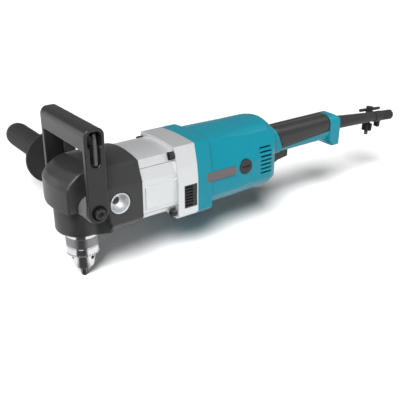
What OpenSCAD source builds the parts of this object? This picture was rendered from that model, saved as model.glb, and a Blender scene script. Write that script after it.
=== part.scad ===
// Right angle drill with a bail handle, a long-stemmed side grip and a keyed chuck.
// Millimetres. The origin is the mouth of the chuck, at the tips of the closed jaws.
// +X runs back along the body to the cord, +Y towards the side grip, +Z up the spindle.
// Every module is drawn about the point where the spindle meets the motor axis,
// and in_tool() lifts it to its place above the origin.

/* [Stance] */
// Height of the motor axis above the tips of the closed jaws
axis_h = 108; // [104:1:114]

/* [Gear head] */
// Reach of the casting in front of the spindle axis
head_reach = 34.5; // [33:0.5:38]
// Radius of the front face, seen from above
front_arc_r = 85; // [70:1:95]
// Wall of the cover over the gear head
cover_wall = 2.4; // [1.5:0.1:3.5]
// Gap between the cover and the casting
cover_gap = 0.1; // [0.05:0.05:0.3]
// Radius of the casting's round nose
nose_r = 29; // [28:0.5:32]
// Depth of the nose below the motor axis
nose_depth = 39.5; // [39:0.25:40]
// Joint between gear head and gear housing, behind the spindle axis
seam_x = 62; // [60:1:68]

/* [Gear housing] */
// Half width of the gear housing
gear_half = 42.5; // [41:0.5:45]
// Height of its crown above the motor axis
gear_top = 45; // [44:0.5:48]
// Depth of its flat bottom below the motor axis
gear_bottom = 35; // [34:0.5:38]
// Length from the seam to the rear flange
gear_len = 50; // [50:1:56]
// Length of the rear flange, which holds the fan
flange_len = 30; // [28:1:36]
// Half width of the rear flange
flange_half = 47; // [46:0.5:50]
// Height of the rear flange's crown
flange_top = 49; // [47:0.25:50]
// Depth of the rear flange's bottom
flange_bottom = 47; // [45:0.5:50]
// Wall of the castings
cast_wall = 4; // [3:0.25:5]

/* [Motor housing] */
// Length of the motor housing
motor_len = 89; // [88:1:98]
// Length of its front collar, which matches the flange
collar_len = 22; // [16:1:26]
// Half width of the motor housing
motor_half = 46; // [45:0.5:48]
// Step from the collar's crown down to the motor housing's crown
collar_step = 0.25; // [0.2:0.05:1]
// Depth of its flat bottom
motor_bottom = 41.5; // [41:0.5:44]
// Corner radius where the collar ends
corner_r_front = 56; // [54:0.5:62]
// Corner radius at the rear cover
corner_r_rear = 52; // [50:0.5:54]
// Wall of the plastic housings
shell_wall = 3; // [2:0.25:3.5]

/* [Rear handle] */
// Length of the domed rear cover in front of the handle
rear_len = 58; // [56:1:70]
// Rounding radius of the rear dome
dome_round = 27; // [20:1:30]
// Radius of the dome's corners seen from above
plan_round = 34; // [28:1:36]
// Length of the grip behind the dome
grip_len = 136; // [126:2:150]
// Half width of the grip
grip_half = 17.5; // [16:0.5:20]
// Height of the grip's top above the motor axis
grip_top = 27.5; // [27:0.5:30]
// Depth of the grip's underside
grip_bottom = 11; // [10:0.5:13]
// Edge radius of the grip
grip_round = 13; // [10:0.5:14]
// Thickness of the soft pads
pad_t = 2.4; // [1.5:0.1:3]
// Length of the plain ring in front of the pads
front_ring = 10; // [9:1:14]
// Length of the end collar
end_ring = 20; // [12:1:22]
// Depth of the end lip below the motor axis
lip_depth = 20.5; // [16:0.5:24]
// Gap left between the two handle halves
parting = 0.1; // [0.05:0.05:0.2]
// Number of slots in each vent
vent_count = 7; // [4:1:8]
// Pitch of the vent slots
vent_pitch = 5.7; // [4.5:0.1:6.2]
// Length of a vent slot
vent_len = 20; // [14:1:22]
// Height of a vent slot
vent_h = 2.5; // [1.5:0.25:3]

/* [Motor] */
// Radius of the laminated stator
stator_r = 38; // [36:0.5:38]
// Length of the stator
stator_len = 50; // [40:1:52]
// Radius of the armature core
core_r = 23; // [20:0.5:24]
// Gap between the core and the stator
air_gap = 0.8; // [0.5:0.1:1.2]
// Radius of the armature shaft
shaft_r = 5; // [4.8:0.1:5.5]
// Radius of the commutator
commutator_r = 16; // [14:0.5:17]
// Length of the commutator
commutator_len = 18; // [14:1:20]
// Radius of the fan
fan_r = 36; // [32:0.5:37]
// Length of the fan's blades
fan_len = 14; // [10:0.5:16]
// Number of fan blades
fan_blades = 14; // [9:1:17]
// Radius of the brush caps
brush_cap_r = 10.2; // [9:0.1:11]

/* [Gears] */
// Module of the spur gears
spur_module = 0.9; // [0.86:0.01:0.92]
// Teeth cut on the armature shaft
motor_teeth = 9; // [8:1:9]
// Teeth of the large layshaft gear
lay_teeth = 40; // [39:1:41]
// Teeth cut on the layshaft
small_teeth = 14; // [13:1:14]
// Module of the bevel gears at their large end
bevel_module = 1.6; // [1.5:0.02:1.64]
// Teeth of the bevel pinion
bevel_pinion_teeth = 10; // [9:1:10]
// Teeth of the bevel gear
bevel_gear_teeth = 30; // [29:1:30]
// Radius of the pinion shaft
pinion_r = 7.5; // [7:0.1:7.8]
// Radius of the layshaft
lay_r = 4.5; // [4:0.1:4.8]

/* [Spindle and chuck] */
// Radius of the spindle in its upper bearing
spindle_r = 7; // [6:0.25:7.5]
// Radius of the spindle in its lower bearing
spindle_low_r = 10; // [9:0.25:10.5]
// Radius of the spindle's threaded nose
thread_r = 7.9; // [7:0.1:8]
// Outer radius of the chuck
chuck_r = 20; // [19.5:0.25:21]
// Gap between the nose and the chuck
chuck_gap = 4; // [2:0.5:6]
// Height of the chuck without its jaws
chuck_len = 54; // [53.5:0.25:54.5]
// Height of the toothed sleeve
sleeve_h = 11; // [9:0.5:12]
// Teeth on the sleeve's lower edge
sleeve_teeth = 36; // [24:2:42]
// Largest drill that the chuck takes
capacity = 13; // [10:0.5:13]
// Radius of a jaw
jaw_r = 3.4; // [3.2:0.1:3.6]
// Slope of the jaws to the spindle axis, in degrees
jaw_slope = 13; // [12.5:0.5:13.5]
// Radius of the closed jaws at their tips
jaw_tip_r = 5.1; // [4.6:0.1:5.3]

/* [Bail handle] */
// Half width over the bail's arms
bail_half = 56.4; // [55:0.2:62]
// Thickness of an arm
arm_t = 6.2; // [5:0.2:6.6]
// Width of an arm and of the bar
arm_w = 25; // [23:0.5:28]
// Distance of the pivot in front of the spindle axis
pivot_front = 3; // [1:0.5:4]
// Depth of the pivot below the motor axis
pivot_drop = 1.5; // [0:0.1:3]
// Height of the bar's top above the motor axis
bail_top = 99; // [94:0.5:110]
// Thickness of the bar
bar_t = 26; // [22:0.5:30]
// Edge radius of the bar
bar_round = 9; // [6:0.5:10]
// Radius of the pivot bolts' shoulders
pivot_r = 6; // [5:0.25:6.5]
// Half width across the flats of the hex wrench
wrench_r = 2.5; // [2:0.25:3]

/* [Side grip] */
// Distance of the grip sockets behind the spindle axis
socket_x = 31; // [30:0.5:34]
// Depth of the socket axis below the motor axis
socket_drop = 3; // [2:0.5:5]
// Outer radius of the socket boss
socket_r = 13; // [12.5:0.25:14]
// Radius of the socket's counterbore
counterbore_r = 11.6; // [10:0.2:11.8]
// Depth of the counterbore
counterbore_depth = 12; // [10:0.5:13]
// Radius of the threaded hole
socket_thread_r = 5; // [4:0.25:5.5]
// Length of the threaded hole
socket_thread_len = 14; // [10:0.5:14.5]
// Length of the grip's bare stem outside the head
stem_len = 98; // [70:1:120]
// Radius of the bare stem
stem_r = 9; // [7:0.5:10]
// Radius of the grip's guard disc
disc_r = 36.5; // [32:0.5:42]
// Thickness of the guard disc
disc_t = 4; // [3:0.25:6]
// Radius of the side grip
side_grip_r = 17.6; // [16:0.2:19]
// Length of the side grip
side_grip_len = 136; // [110:1:150]
// Number of ribs round the side grip
grip_ribs = 32; // [20:2:40]

/* [Cord guard and key] */
// Length of the cord guard outside the handle
guard_len = 116; // [100:1:130]
// Length of the guard's ribbed tail
tail_len = 21; // [18:1:30]
// Radius of the guard at the handle
guard_r = 10.4; // [9:0.2:11]
// Radius of the guard at its tail
guard_tip_r = 7; // [6.5:0.1:7.6]
// Radius of the guard's bore
guard_bore_r = 4.4; // [3.5:0.1:5]
// Droop of the guard, in degrees
guard_droop = 4.6; // [0:0.1:5]
// Height of the guard where it leaves the handle
guard_z = 8.5; // [6:0.25:10]
// Place of the chuck key along the tool, behind the spindle axis
key_x = 530; // [500:1:530]
// Radius of the chuck key's shank
key_r = 4; // [3:0.1:4.5]
// Teeth of the chuck key
key_teeth = 11; // [9:1:13]
// Length of the key's cross bar
key_bar_len = 46; // [40:1:60]

/* [Hidden] */

// Fineness of round surfaces
$fn = 96;

// Fits: a seat is a push fit in the same body, a run is a shaft that turns in its hole,
// and a pass is the gap between neighbours that move past each other
seat = 0.05;
run = 0.05;
pass = 0.3;
// Length by which a cutting tool runs past the face that it cuts
over = 1;

// Stations along the body
flange_x = seam_x + gear_len;
joint_x = flange_x + flange_len;
step_x = joint_x + collar_len;
rear_x = joint_x + motor_len;
grip_x = rear_x + rear_len;
end_x = grip_x + grip_len;
tail_x = end_x + guard_len;

// Colours as the object shows them
black = [0.20, 0.20, 0.205];
soft_black = [0.25, 0.245, 0.24];
alloy = [0.80, 0.81, 0.82];
steel = [0.62, 0.63, 0.65];
bright = [0.78, 0.78, 0.80];
teal = [0.10, 0.55, 0.64];
copper = [0.72, 0.42, 0.22];

// Placing and plain shapes

module in_tool() {
    translate([0, 0, axis_h]) children();
}

// A flat outline drawn in Y and Z, carried back along X
module along_x(x, len) {
    translate([x, 0, 0]) rotate([90, 0, 90]) linear_extrude(len) children();
}

// A round bar along X
module rod_x(x, r, len, y = 0, z = 0) {
    translate([x, y, z]) rotate([0, 90, 0]) cylinder(r = r, h = len);
}

// A round bar along Y
module rod_y(x, y, z, r, len) {
    translate([x, y, z]) rotate([-90, 0, 0]) cylinder(r = r, h = len);
}

// A box given by its lowest and highest corners
module block(low, high) {
    translate(low) cube(high - low);
}

// The same thing on the near side and on the far side
module both_sides() {
    children();
    mirror([0, 1, 0]) children();
}

// A rectangle from bottom to top with its own radius above and below
module round_box(half, bottom, top, r_top, r_bottom) {
    translate([-half, bottom + r_bottom]) square([2 * half, top - bottom - r_top - r_bottom]);
    translate([-half + r_top, top - r_top]) square([2 * (half - r_top), r_top]);
    translate([-half + r_bottom, bottom]) square([2 * (half - r_bottom), r_bottom]);
    for (side = [-1, 1]) {
        translate([side * (half - r_top), top - r_top]) circle(r_top);
        translate([side * (half - r_bottom), bottom + r_bottom]) circle(r_bottom);
    }
}

// A shielded ball bearing standing on z = 0
module bearing(r_in, r_out, width) {
    race = 0.28 * (r_out - r_in);
    shield = 0.06 * width;
    rotate_extrude() polygon([
        [r_in, 0], [r_in + race, 0], [r_in + race, shield], [r_out - race, shield],
        [r_out - race, 0], [r_out, 0], [r_out, width], [r_out - race, width],
        [r_out - race, width - shield], [r_in + race, width - shield],
        [r_in + race, width], [r_in, width]
    ]);
}

// A cap screw whose head stands on the plane x, with its shank towards +X
module cap_screw(x, y, z, r, len, head_r, head_h) {
    difference() {
        union() {
            rod_x(x, r, len, y, z);
            rod_x(x - head_h, head_r, head_h, y, z);
        }
        translate([x - head_h - over, y, z]) rotate([0, 90, 0])
            cylinder(r = 0.55 * head_r, h = 0.6 * head_h + over, $fn = 6);
    }
}

// Gears

// Mesh of the spur gears: pressure angle, tip and root heights in modules, and play
spur_angle = 25;
spur_tip = 0.7;
spur_root = 1;
spur_play = 0.06;
flank_steps = 3;

function polar(r, a) = [r * cos(a), r * sin(a)];

// Angle of the involute of a base circle at radius r
function involute(base, r) =
    r <= base ? 0 : sqrt(pow(r / base, 2) - 1) * 180 / PI - acos(base / r);

// Half the angle that a tooth takes up at radius r
function half_tooth(m, teeth, play, r) =
    let (pitch = m * teeth / 2, base = pitch * cos(spur_angle))
    (PI * m / 4 - play) / pitch * 180 / PI + involute(base, pitch) - involute(base, r);

// Outline of one involute tooth about the angle a, from root to tip and back
function tooth_outline(m, teeth, play, a) =
    let (
        pitch = m * teeth / 2,
        root = pitch - spur_root * m,
        tip = pitch + spur_tip * m,
        start = max(root + 0.01, pitch * cos(spur_angle)),
        radii = [for (i = [0:flank_steps]) start + (tip - start) * i / flank_steps]
    )
    concat(
        [polar(root, a - half_tooth(m, teeth, play, start))],
        [for (r = radii) polar(r, a - half_tooth(m, teeth, play, r))],
        [for (i = [flank_steps:-1:0]) polar(radii[i], a + half_tooth(m, teeth, play, radii[i]))],
        [polar(root, a + half_tooth(m, teeth, play, start))]
    );

// Outline of a whole spur gear with its first tooth at the angle turn
module spur_outline(m, teeth, turn = 0, play = spur_play) {
    polygon([for (i = [0:teeth - 1]) each tooth_outline(m, teeth, play, turn + i * 360 / teeth)]);
}

// The train: armature pinion, large layshaft gear, small layshaft gear, driven gear
lay_offset = spur_module * (motor_teeth + lay_teeth) / 2;
driven_teeth = motor_teeth + lay_teeth - small_teeth;
lay_angle = 60;
lay_y = lay_offset * cos(lay_angle);
lay_z = lay_offset * sin(lay_angle);

// Phases that put a tooth of one gear in a gap of the next along the line of centres
motor_turn = lay_angle;
lay_turn = lay_angle + 180 + 180 / lay_teeth;
small_turn = lay_angle + 180;
driven_turn = lay_angle + 180 / driven_teeth;
// A tooth gap of the bevel pinion faces down onto a tooth of the wheel
bevel_turn = 180 / bevel_pinion_teeth;

// Bevel pair: the pitch cones meet where the spindle crosses the motor axis
bevel_gear_r = bevel_module * bevel_gear_teeth / 2;
bevel_pinion_r = bevel_module * bevel_pinion_teeth / 2;
bevel_face = 8;
bevel_tip = 0.7;
bevel_root = 1;
bevel_play = 0.14;
// Slant length of the pitch cones
cone_len = norm([bevel_gear_r, bevel_pinion_r]);
bevel_scale = 1 - bevel_face / cone_len;

// Stations of the gear train along X
pinion_back = bevel_gear_r;
front_bearing_x = 30;
bearing_w = 10;
front_bearing_r = 16;
web_x = 80;
web_t = 10;
rear_bearing_r = 11;
driven_x = 66;
driven_w = 10;
lay_gear_x = web_x + web_t + 4;
lay_gear_w = 8;
plate_x = lay_gear_x + lay_gear_w + 4;
plate_t = 10;
lay_bearing_r = 8.5;
lay_bearing_w = 8;
motor_bearing_r = 12;
motor_bearing_w = 9;
rear_motor_bearing_r = 11;
fan_x = plate_x + plate_t + 4;
baffle_x = joint_x;
baffle_t = 5;
stator_x = joint_x + 10;
commutator_x = stator_x + stator_len + 9;
brush_x = commutator_x + commutator_len / 2;
brush_z = 0;
rear_bearing_x = rear_x + 2;

// Stations down the spindle, measured from the motor axis
gear_plane = -bevel_pinion_r;
gear_disc = 5;
// The wheel's teeth run on below its pitch line by this scale, to the bottom of their gaps
bevel_deep = 1.3;
low_bearing_z = -36;
low_bearing_w = 12;
low_bearing_r = 20;
up_bearing_z = 14;
up_bearing_w = 10;
up_bearing_r = 13;
chamber_r = bevel_gear_r + 2.4;
nose_ring_h = 4;
chuck_top = -nose_depth - chuck_gap;
thread_len = 12;

// Chuck jaws: the outer line of each jaw leans out from the tip by jaw_slope
first_jaw = 114;
first_key_hole = first_jaw - 60;
jaw_travel = capacity / 2 / sin(jaw_slope);
jaw_len = 29;

// Gear head: side of the recess, its step, the brow, the nose and the keel
side_floor = 31.5;
recess_x = 8;
brow = -3.5;
nose_slope = 3;
block_low_x = 20;
keel_x = 26;
keel_front = 27;
keel_back = 38;
keel_r = 45;
boss_r = 14.6;
boss_y = bail_half - arm_t - pass;
bolt_thread_r = 4;
bolt_thread_len = 12;
post_len = 10;

// Gear housing: window for the louvre, room for the fan and screws to the motor housing
lay_x = 54;
window_front = 9;
window_back = 1.5;
window_low = -34;
window_high = -3;
fan_room_r = 39;
bolt_r = 2.5;
bolt_head_r = 5;
bolt_head_h = 6.5;

// Motor housing
motor_top = flange_top - collar_step;
// Length of the motor housing that runs inside the outline of its collar
collar_root = 6;
coil_half = 26;
baffle_r = 41;
holder_r = 8.4;
brush_half_x = 3.1;
brush_half_z = 6.4;
holder_in = commutator_r + 2.5;
rim_len = 6;

// Rear handle: its walls, trigger, lock button, lever, screws, clamp and guard
end_up = 1.5;
neck_up = 1.5;
neck_gap = 0.6;
plan_ease = 0.6;
lip_len = 28;
web_half = 12.5;
under_wall = 2;
inner_half = grip_half - pad_t - under_wall - seat;
inner_bottom_gap = pad_t + under_wall;
trigger_low = -26.8;
button_z = 8;
lever_x = grip_x + 8;
lever_r = 3.5;
lever_half = 8;
lever_low = -grip_bottom - neck_up - 4.5;
lever_top = -grip_bottom - neck_up - pass;
pad_slant = 11;
screw_seat_y = 9;
clamp_x = end_x - 34;
guard_collar_r = guard_r + 2.4;

// Bail, wrench and side grip
bail_x = -pivot_front;
hollow = 4;
channel = 6;
bar_bottom = bail_top - bar_t;
wrench_z = bail_top - 7.5;
wrench_y = -bail_half + 1.2;
wrench_len = 35;
washer_r = 9;
washer_t = 1.2;
stem_y0 = gear_half + cover_wall + cover_gap;
disc_y = stem_y0 + stem_len;

// Chuck and key
jaw_foot = jaw_tip_r - jaw_r / cos(jaw_slope);
chuck_low = chuck_top - chuck_len;
sleeve_low = chuck_low + 22.5;
sleeve_top = sleeve_low + sleeve_h;
neck_r = chuck_r - 2.8;
key_bar_r = 2.5;
key_low = -34;
key_top = 8.5;
lug_h = 11;

// Height and radius of the cord guard at a place along the tool or along its own axis
function guard_at(x) = guard_z - (x - end_x) * tan(guard_droop);
function guard_radius(s) = guard_r + (guard_tip_r - guard_r) * s / guard_len;
key_y = guard_radius(key_x - end_x) + key_r + 4.6;

// Outlines of the body, in Y and Z

// Gear housing: flat sides, two flats up each shoulder and a shallow crown; grow sets it out
module gear_outline(grow = 0) {
    half = gear_half + grow;
    top = gear_top + grow;
    bottom = gear_bottom + grow;
    crown_r = 140;
    intersection() {
        polygon([
            [-half, -bottom + 8], [-half + 6, -bottom], [half - 6, -bottom], [half, -bottom + 8],
            [half, top - 29], [half - 5, top - 14], [half - 9.5, top], [-half + 9.5, top],
            [-half + 5, top - 14], [-half, top - 29]
        ]);
        translate([0, top - crown_r]) circle(crown_r, $fn = 200);
    }
}

// Rear flange of the gear housing and front collar of the motor housing
module flange_outline(grow = 0) {
    half = flange_half + grow;
    top = flange_top + grow;
    bottom = flange_bottom + grow;
    crown_r = 400;
    intersection() {
        polygon([
            [-half, -bottom + 5], [-half + 5, -bottom], [half - 5, -bottom], [half, -bottom + 5],
            [half, 2], [half - 2.5, top - 27], [half - 7.5, top - 6.5], [half - 9.5, top],
            [-half + 9.5, top], [-half + 7.5, top - 6.5], [-half + 2.5, top - 27], [-half, 2]
        ]);
        translate([0, top - crown_r]) circle(crown_r, $fn = 200);
    }
}

// Motor housing: a flat on each shoulder under a crown
module motor_outline(grow = 0) {
    half = motor_half + grow;
    top = motor_top + grow;
    bottom = motor_bottom + grow;
    crown_r = 110;
    intersection() {
        polygon([
            [-half, -bottom + 14], [-half + 12, -bottom], [half - 12, -bottom], [half, -bottom + 14],
            [half, 5], [half - 12, 40 + grow], [half - 15, top], [-half + 15, top],
            [-half + 12, 40 + grow], [-half, 5]
        ]);
        translate([0, top - crown_r]) circle(crown_r, $fn = 200);
    }
}

// Grip of the rear handle
module grip_outline(grow = 0) {
    r = grip_round + grow;
    round_box(grip_half + grow, -grip_bottom - grow, grip_top + grow, r, r);
}

// Solid forms of the shells; a negative grow gives the space inside

// The tapering round that trims the corners of the motor housing and becomes the rear dome
module dome_form(grow = 0) {
    long = grip_x - rear_x + grow;
    r_front = corner_r_front + grow;
    r = corner_r_rear + grow;
    round_r = dome_round + grow;
    taper = step_x - rear_x;
    translate([rear_x, 0, 0]) rotate([0, 90, 0]) rotate_extrude() {
        polygon([
            [0, taper - collar_root], [r_front, taper - collar_root], [r_front, taper], [r, 0],
            [r, long - round_r], [r - round_r, long - round_r], [r - round_r, long], [0, long]
        ]);
        translate([r - round_r, long - round_r]) intersection() {
            circle(round_r);
            square(round_r);
        }
    }
}

// Plan of the rear cover, with a round corner on each side
module dome_plan(grow = 0) {
    r = plan_round + grow;
    half = motor_half + plan_ease + grow;
    back = grip_x + grow;
    translate([0, 0, -100]) linear_extrude(200) {
        translate([rear_x - over, -half]) square([back - r - rear_x + over, 2 * half]);
        translate([back - r, -half + r]) square([r, 2 * (half - r)]);
        for (side = [-1, 1]) translate([back - r, side * (half - r)]) circle(r);
    }
}

// Body of the motor housing from the joint to the rear cover
module motor_form(x0, x1, grow = 0) {
    intersection() {
        along_x(x0, x1 - x0) motor_outline(grow);
        dome_form(grow);
    }
}

// Whole outside of the rear cover and handle
module handle_form() {
    intersection() {
        along_x(rear_x, rear_len) motor_outline(0);
        dome_form(0);
        dome_plan(0);
    }
    along_x(grip_x - 22, grip_len + 22 - end_ring + 3) grip_outline(0);
    // Neck between the dome and the pads, with a slanted rear edge
    intersection() {
        along_x(grip_x - 22, 22 + front_ring + pad_slant) grip_outline(neck_up);
        along_y(-50, 100) polygon([
            [grip_x - 30, -60], [neck_end + pad_slant, -60], [neck_end + pad_slant, pad_low],
            [neck_end, grip_top], [neck_end, 60], [grip_x - 30, 60]
        ]);
    }
    // End collar, a little wider than the grip, with its top cut down at the rear
    intersection() {
        along_x(end_x - end_ring, end_ring)
            round_box(grip_half + end_up, -grip_bottom - end_up, grip_top - 0.5, 12, 8);
        along_y(-50, 100) polygon([
            [end_x - end_ring - over, -60], [end_x + over, -60], [end_x + over, grip_top - 6],
            [end_x - 8, grip_top], [end_x - end_ring - over, grip_top]
        ]);
    }
}

// Space inside it
module handle_space() {
    intersection() {
        along_x(rear_x, rear_len - shell_wall) motor_outline(-shell_wall);
        dome_form(-shell_wall);
        dome_plan(-shell_wall);
    }
    along_x(grip_x - 22, grip_len + 22 - end_ring + 3) grip_outline(-pad_t - under_wall);
}

// Block and nose of the gear head; grow sets the whole form out
module head_form(grow = 0) {
    half = gear_half + grow;
    low = -gear_bottom + cover_wall + cover_gap - grow;
    top = gear_top + grow;
    arc_r = front_arc_r + grow;
    arc_x = front_arc_r - head_reach;
    side = side_floor + grow;
    step = recess_x - grow;
    intersection() {
        along_x(-head_reach - 10, seam_x + head_reach + 10) gear_outline(grow);
        // Plan: sides that are set in round the bail's pivot
        translate([0, 0, low - over]) linear_extrude(2 * gear_top + 2 * over) polygon([
            [-60, -side], [step, -side], [step, -half], [seam_x, -half],
            [seam_x, half], [step, half], [step, side], [-60, side]
        ]);
        // Round front with a slope up to the crown
        union() {
            translate([arc_x, 0, 0]) rotate_extrude($fn = 200) polygon([
                [0, low - over], [arc_r, low - over], [arc_r, top - 23], [arc_r - 5, top - 15.5],
                [arc_r - 15, top - 7], [arc_r - 40, top + over], [0, top + over]
            ]);
            block([arc_x, -200, low - over], [seam_x + over, 200, top + over]);
        }
        // Side view: a brow over the nose and a flat bottom
        along_y(-half - over, 2 * (half + over)) polygon([
            [-60, brow - grow], [recess_x + 4, brow - grow], [block_low_x, low], [seam_x, low],
            [seam_x, top + over], [-60, top + over]
        ]);
    }
    // Round nose over the spindle bearing
    translate([0, 0, -nose_depth - grow])
        cylinder(r1 = nose_r + grow - 2, r2 = nose_r + grow, h = nose_slope);
    translate([0, 0, -nose_depth - grow + nose_slope])
        cylinder(r = nose_r + grow, h = nose_depth + grow - nose_slope);
    // Keel that widens from the nose back to the housing
    translate([0, 0, -nose_depth - grow]) intersection() {
        linear_extrude(nose_depth + grow) polygon([
            [0, -keel_front - grow], [keel_x, -keel_back - grow],
            [keel_x, keel_back + grow], [0, keel_front + grow]
        ]);
        cylinder(r1 = keel_r + grow - 4, r2 = keel_r + grow, h = nose_depth + grow);
    }
}

// Gear head

module side_boss(grow) {
    rod_y(-pivot_front, -boss_y, -pivot_drop, boss_r + grow, boss_y);
}
module socket_boss(grow) {
    rod_y(socket_x, -gear_half - cover_wall - cover_gap, -socket_drop, socket_r + grow, gear_half);
}

module head_cover() {
    color(black) in_tool() difference() {
        intersection() {
            head_form(cover_wall + cover_gap);
            block([-200, -200, -200], [seam_x + 0.5, 200, 200]);
        }
        head_form(cover_gap);
        block([seam_x - 0.01, -gear_half - cover_gap, -200], [seam_x + 5, gear_half + cover_gap, 200]);
        both_sides() {
            side_boss(cover_gap);
            socket_boss(cover_gap);
        }
        translate([0, 0, -nose_depth - 10]) cylinder(r = low_bearing_r + 4, h = 20);
    }
}

// Corners where the gear head is screwed to the gear housing
head_screw_spots = [[28.5, 23], [-28.5, 23], [32, -22], [-32, -22]];
head_screw_r = 2.5;
head_screw_head = 4.3;

module gear_head() {
    color(alloy) in_tool() difference() {
        union() {
            head_form(0);
            both_sides() {
                side_boss(0);
                socket_boss(0);
            }
        }
        // Chamber for the bevel gears
        translate([0, 0, low_bearing_z + low_bearing_w])
            cylinder(r = chamber_r, h = up_bearing_z - 2 - low_bearing_z - low_bearing_w);
        // Seat of the lower spindle bearing, open below for the nose ring
        translate([0, 0, -nose_depth - over])
            cylinder(r = low_bearing_r + seat, h = nose_depth + low_bearing_z + low_bearing_w + 2 * over);
        // Seat of the upper spindle bearing
        translate([0, 0, up_bearing_z - 3]) cylinder(r = up_bearing_r + seat, h = up_bearing_w + 3);
        // Bore for the pinion shaft and its front bearing
        rod_x(15, bevel_pinion_r + 3.5, 20);
        rod_x(front_bearing_x, front_bearing_r + seat, seam_x);
        // Seat of the layshaft's front bearing
        rod_x(lay_x, lay_bearing_r + seat, seam_x, lay_y, lay_z);
        // Pivot bolts and side grip sockets
        both_sides() {
            rod_y(-pivot_front, -boss_y - over, -pivot_drop,
                bolt_thread_r + seat, bolt_thread_len + over + 1);
            rod_y(socket_x, -gear_half - cover_wall - cover_gap - over, -socket_drop,
                counterbore_r, counterbore_depth + over);
            rod_y(socket_x, -gear_half - cover_wall - cover_gap, -socket_drop,
                socket_thread_r, counterbore_depth + socket_thread_len);
        }
        // Threaded holes for the screws that come through the gear housing
        for (p = head_screw_spots) rod_x(seam_x - 13, head_screw_r + seat, 14, p[0], p[1]);
    }
}

// Threaded ring that holds the lower spindle bearing
module nose_ring() {
    color(steel) in_tool() translate([0, 0, -nose_depth]) difference() {
        cylinder(r = low_bearing_r, h = nose_depth + low_bearing_z - seat);
        translate([0, 0, -over]) cylinder(r = spindle_low_r + pass + 1, h = nose_depth);
        // Holes for a pin spanner
        for (a = [0:90:270]) rotate(a) translate([15.5, 0, -over]) cylinder(r = 1.4, h = 2 + over);
    }
}

// Spindle and bevel gears

module spindle_bearing_upper() {
    color(steel) in_tool() translate([0, 0, up_bearing_z]) bearing(spindle_r + run, up_bearing_r, up_bearing_w);
}

module spindle_bearing_lower() {
    color(steel) in_tool() translate([0, 0, low_bearing_z])
        bearing(spindle_low_r + run, low_bearing_r, low_bearing_w);
}

module spindle() {
    color(steel) in_tool() {
        translate([0, 0, chuck_top - thread_len]) cylinder(r = thread_r, h = thread_len);
        translate([0, 0, chuck_top]) cylinder(r = spindle_low_r, h = low_bearing_z + low_bearing_w - chuck_top);
        translate([0, 0, low_bearing_z + low_bearing_w - 0.01])
            cylinder(r = spindle_r, h = up_bearing_z + up_bearing_w - low_bearing_z - low_bearing_w);
    }
}

// The bevel gear's teeth are those of a crown wheel: straight sided in section, drawn out
// towards the point where the two axes meet
module bevel_wheel_outline() {
    // A height off the pitch cone shows in the flat section stretched by this much
    stretch = cone_len / bevel_pinion_r;
    tip = bevel_gear_r + bevel_tip * bevel_module * stretch;
    root = bevel_gear_r - bevel_root * bevel_module * stretch;
    half = PI * bevel_module / 4 - bevel_play;
    half_tip = half - bevel_tip * bevel_module * tan(spur_angle);
    half_root = half + bevel_root * bevel_module * tan(spur_angle);
    polygon([for (i = [0:bevel_gear_teeth - 1]) let (a = i * 360 / bevel_gear_teeth) each [
        polar(root, a - half_root / root * 180 / PI),
        polar(tip, a - half_tip / tip * 180 / PI),
        polar(tip, a + half_tip / tip * 180 / PI),
        polar(root, a + half_root / root * 180 / PI)
    ]]);
}

module bevel_gear() {
    hub_r = spindle_r + 6;
    hub_z = low_bearing_z + low_bearing_w + 1;
    disc_z = gear_plane * bevel_deep - gear_disc;
    color(steel) in_tool() difference() {
        union() {
            intersection() {
                translate([0, 0, gear_plane * bevel_deep])
                    linear_extrude(bevel_pinion_r * (bevel_deep - bevel_scale), scale = bevel_scale / bevel_deep)
                    scale(bevel_deep) bevel_wheel_outline();
                translate([0, 0, gear_plane - 10]) cylinder(r = bevel_gear_r + 0.9, h = 30);
            }
            translate([0, 0, disc_z]) cylinder(r = bevel_gear_r + 0.9, h = gear_disc);
            translate([0, 0, hub_z]) cylinder(r = hub_r, h = disc_z - hub_z + over);
        }
        translate([0, 0, hub_z - over]) cylinder(r = spindle_r + seat, h = 50);
    }
}

module pinion_shaft() {
    end = web_x + web_t - 0.5;
    color(steel) in_tool() {
        translate([pinion_back, 0, 0]) rotate([0, -90, 0])
            linear_extrude(bevel_gear_r * (1 - bevel_scale), scale = bevel_scale)
            spur_outline(bevel_module, bevel_pinion_teeth, bevel_turn, bevel_play);
        rod_x(pinion_back - 0.01, bevel_pinion_r - bevel_root * bevel_module - 0.05, 3);
        rod_x(pinion_back + 2, pinion_r, end - pinion_back - 2);
    }
}

module pinion_bearing_front() {
    color(steel) in_tool() translate([front_bearing_x, 0, 0]) rotate([0, 90, 0])
        bearing(pinion_r + run, front_bearing_r, bearing_w);
}

module pinion_bearing_rear() {
    color(steel) in_tool() translate([web_x, 0, 0]) rotate([0, 90, 0])
        bearing(pinion_r + run, rear_bearing_r, web_t);
}

// Spur gears

module driven_gear() {
    color(steel) in_tool() difference() {
        along_x(driven_x, driven_w) spur_outline(spur_module, driven_teeth, driven_turn);
        rod_x(driven_x - over, pinion_r + seat, driven_w + 2 * over);
    }
}

module layshaft() {
    far = plate_x + lay_bearing_w;
    color(steel) in_tool() {
        rod_x(lay_x, lay_r, far - lay_x, lay_y, lay_z);
        translate([0, lay_y, lay_z]) along_x(driven_x - 1, driven_w + 2)
            spur_outline(spur_module, small_teeth, small_turn);
    }
}

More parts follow.
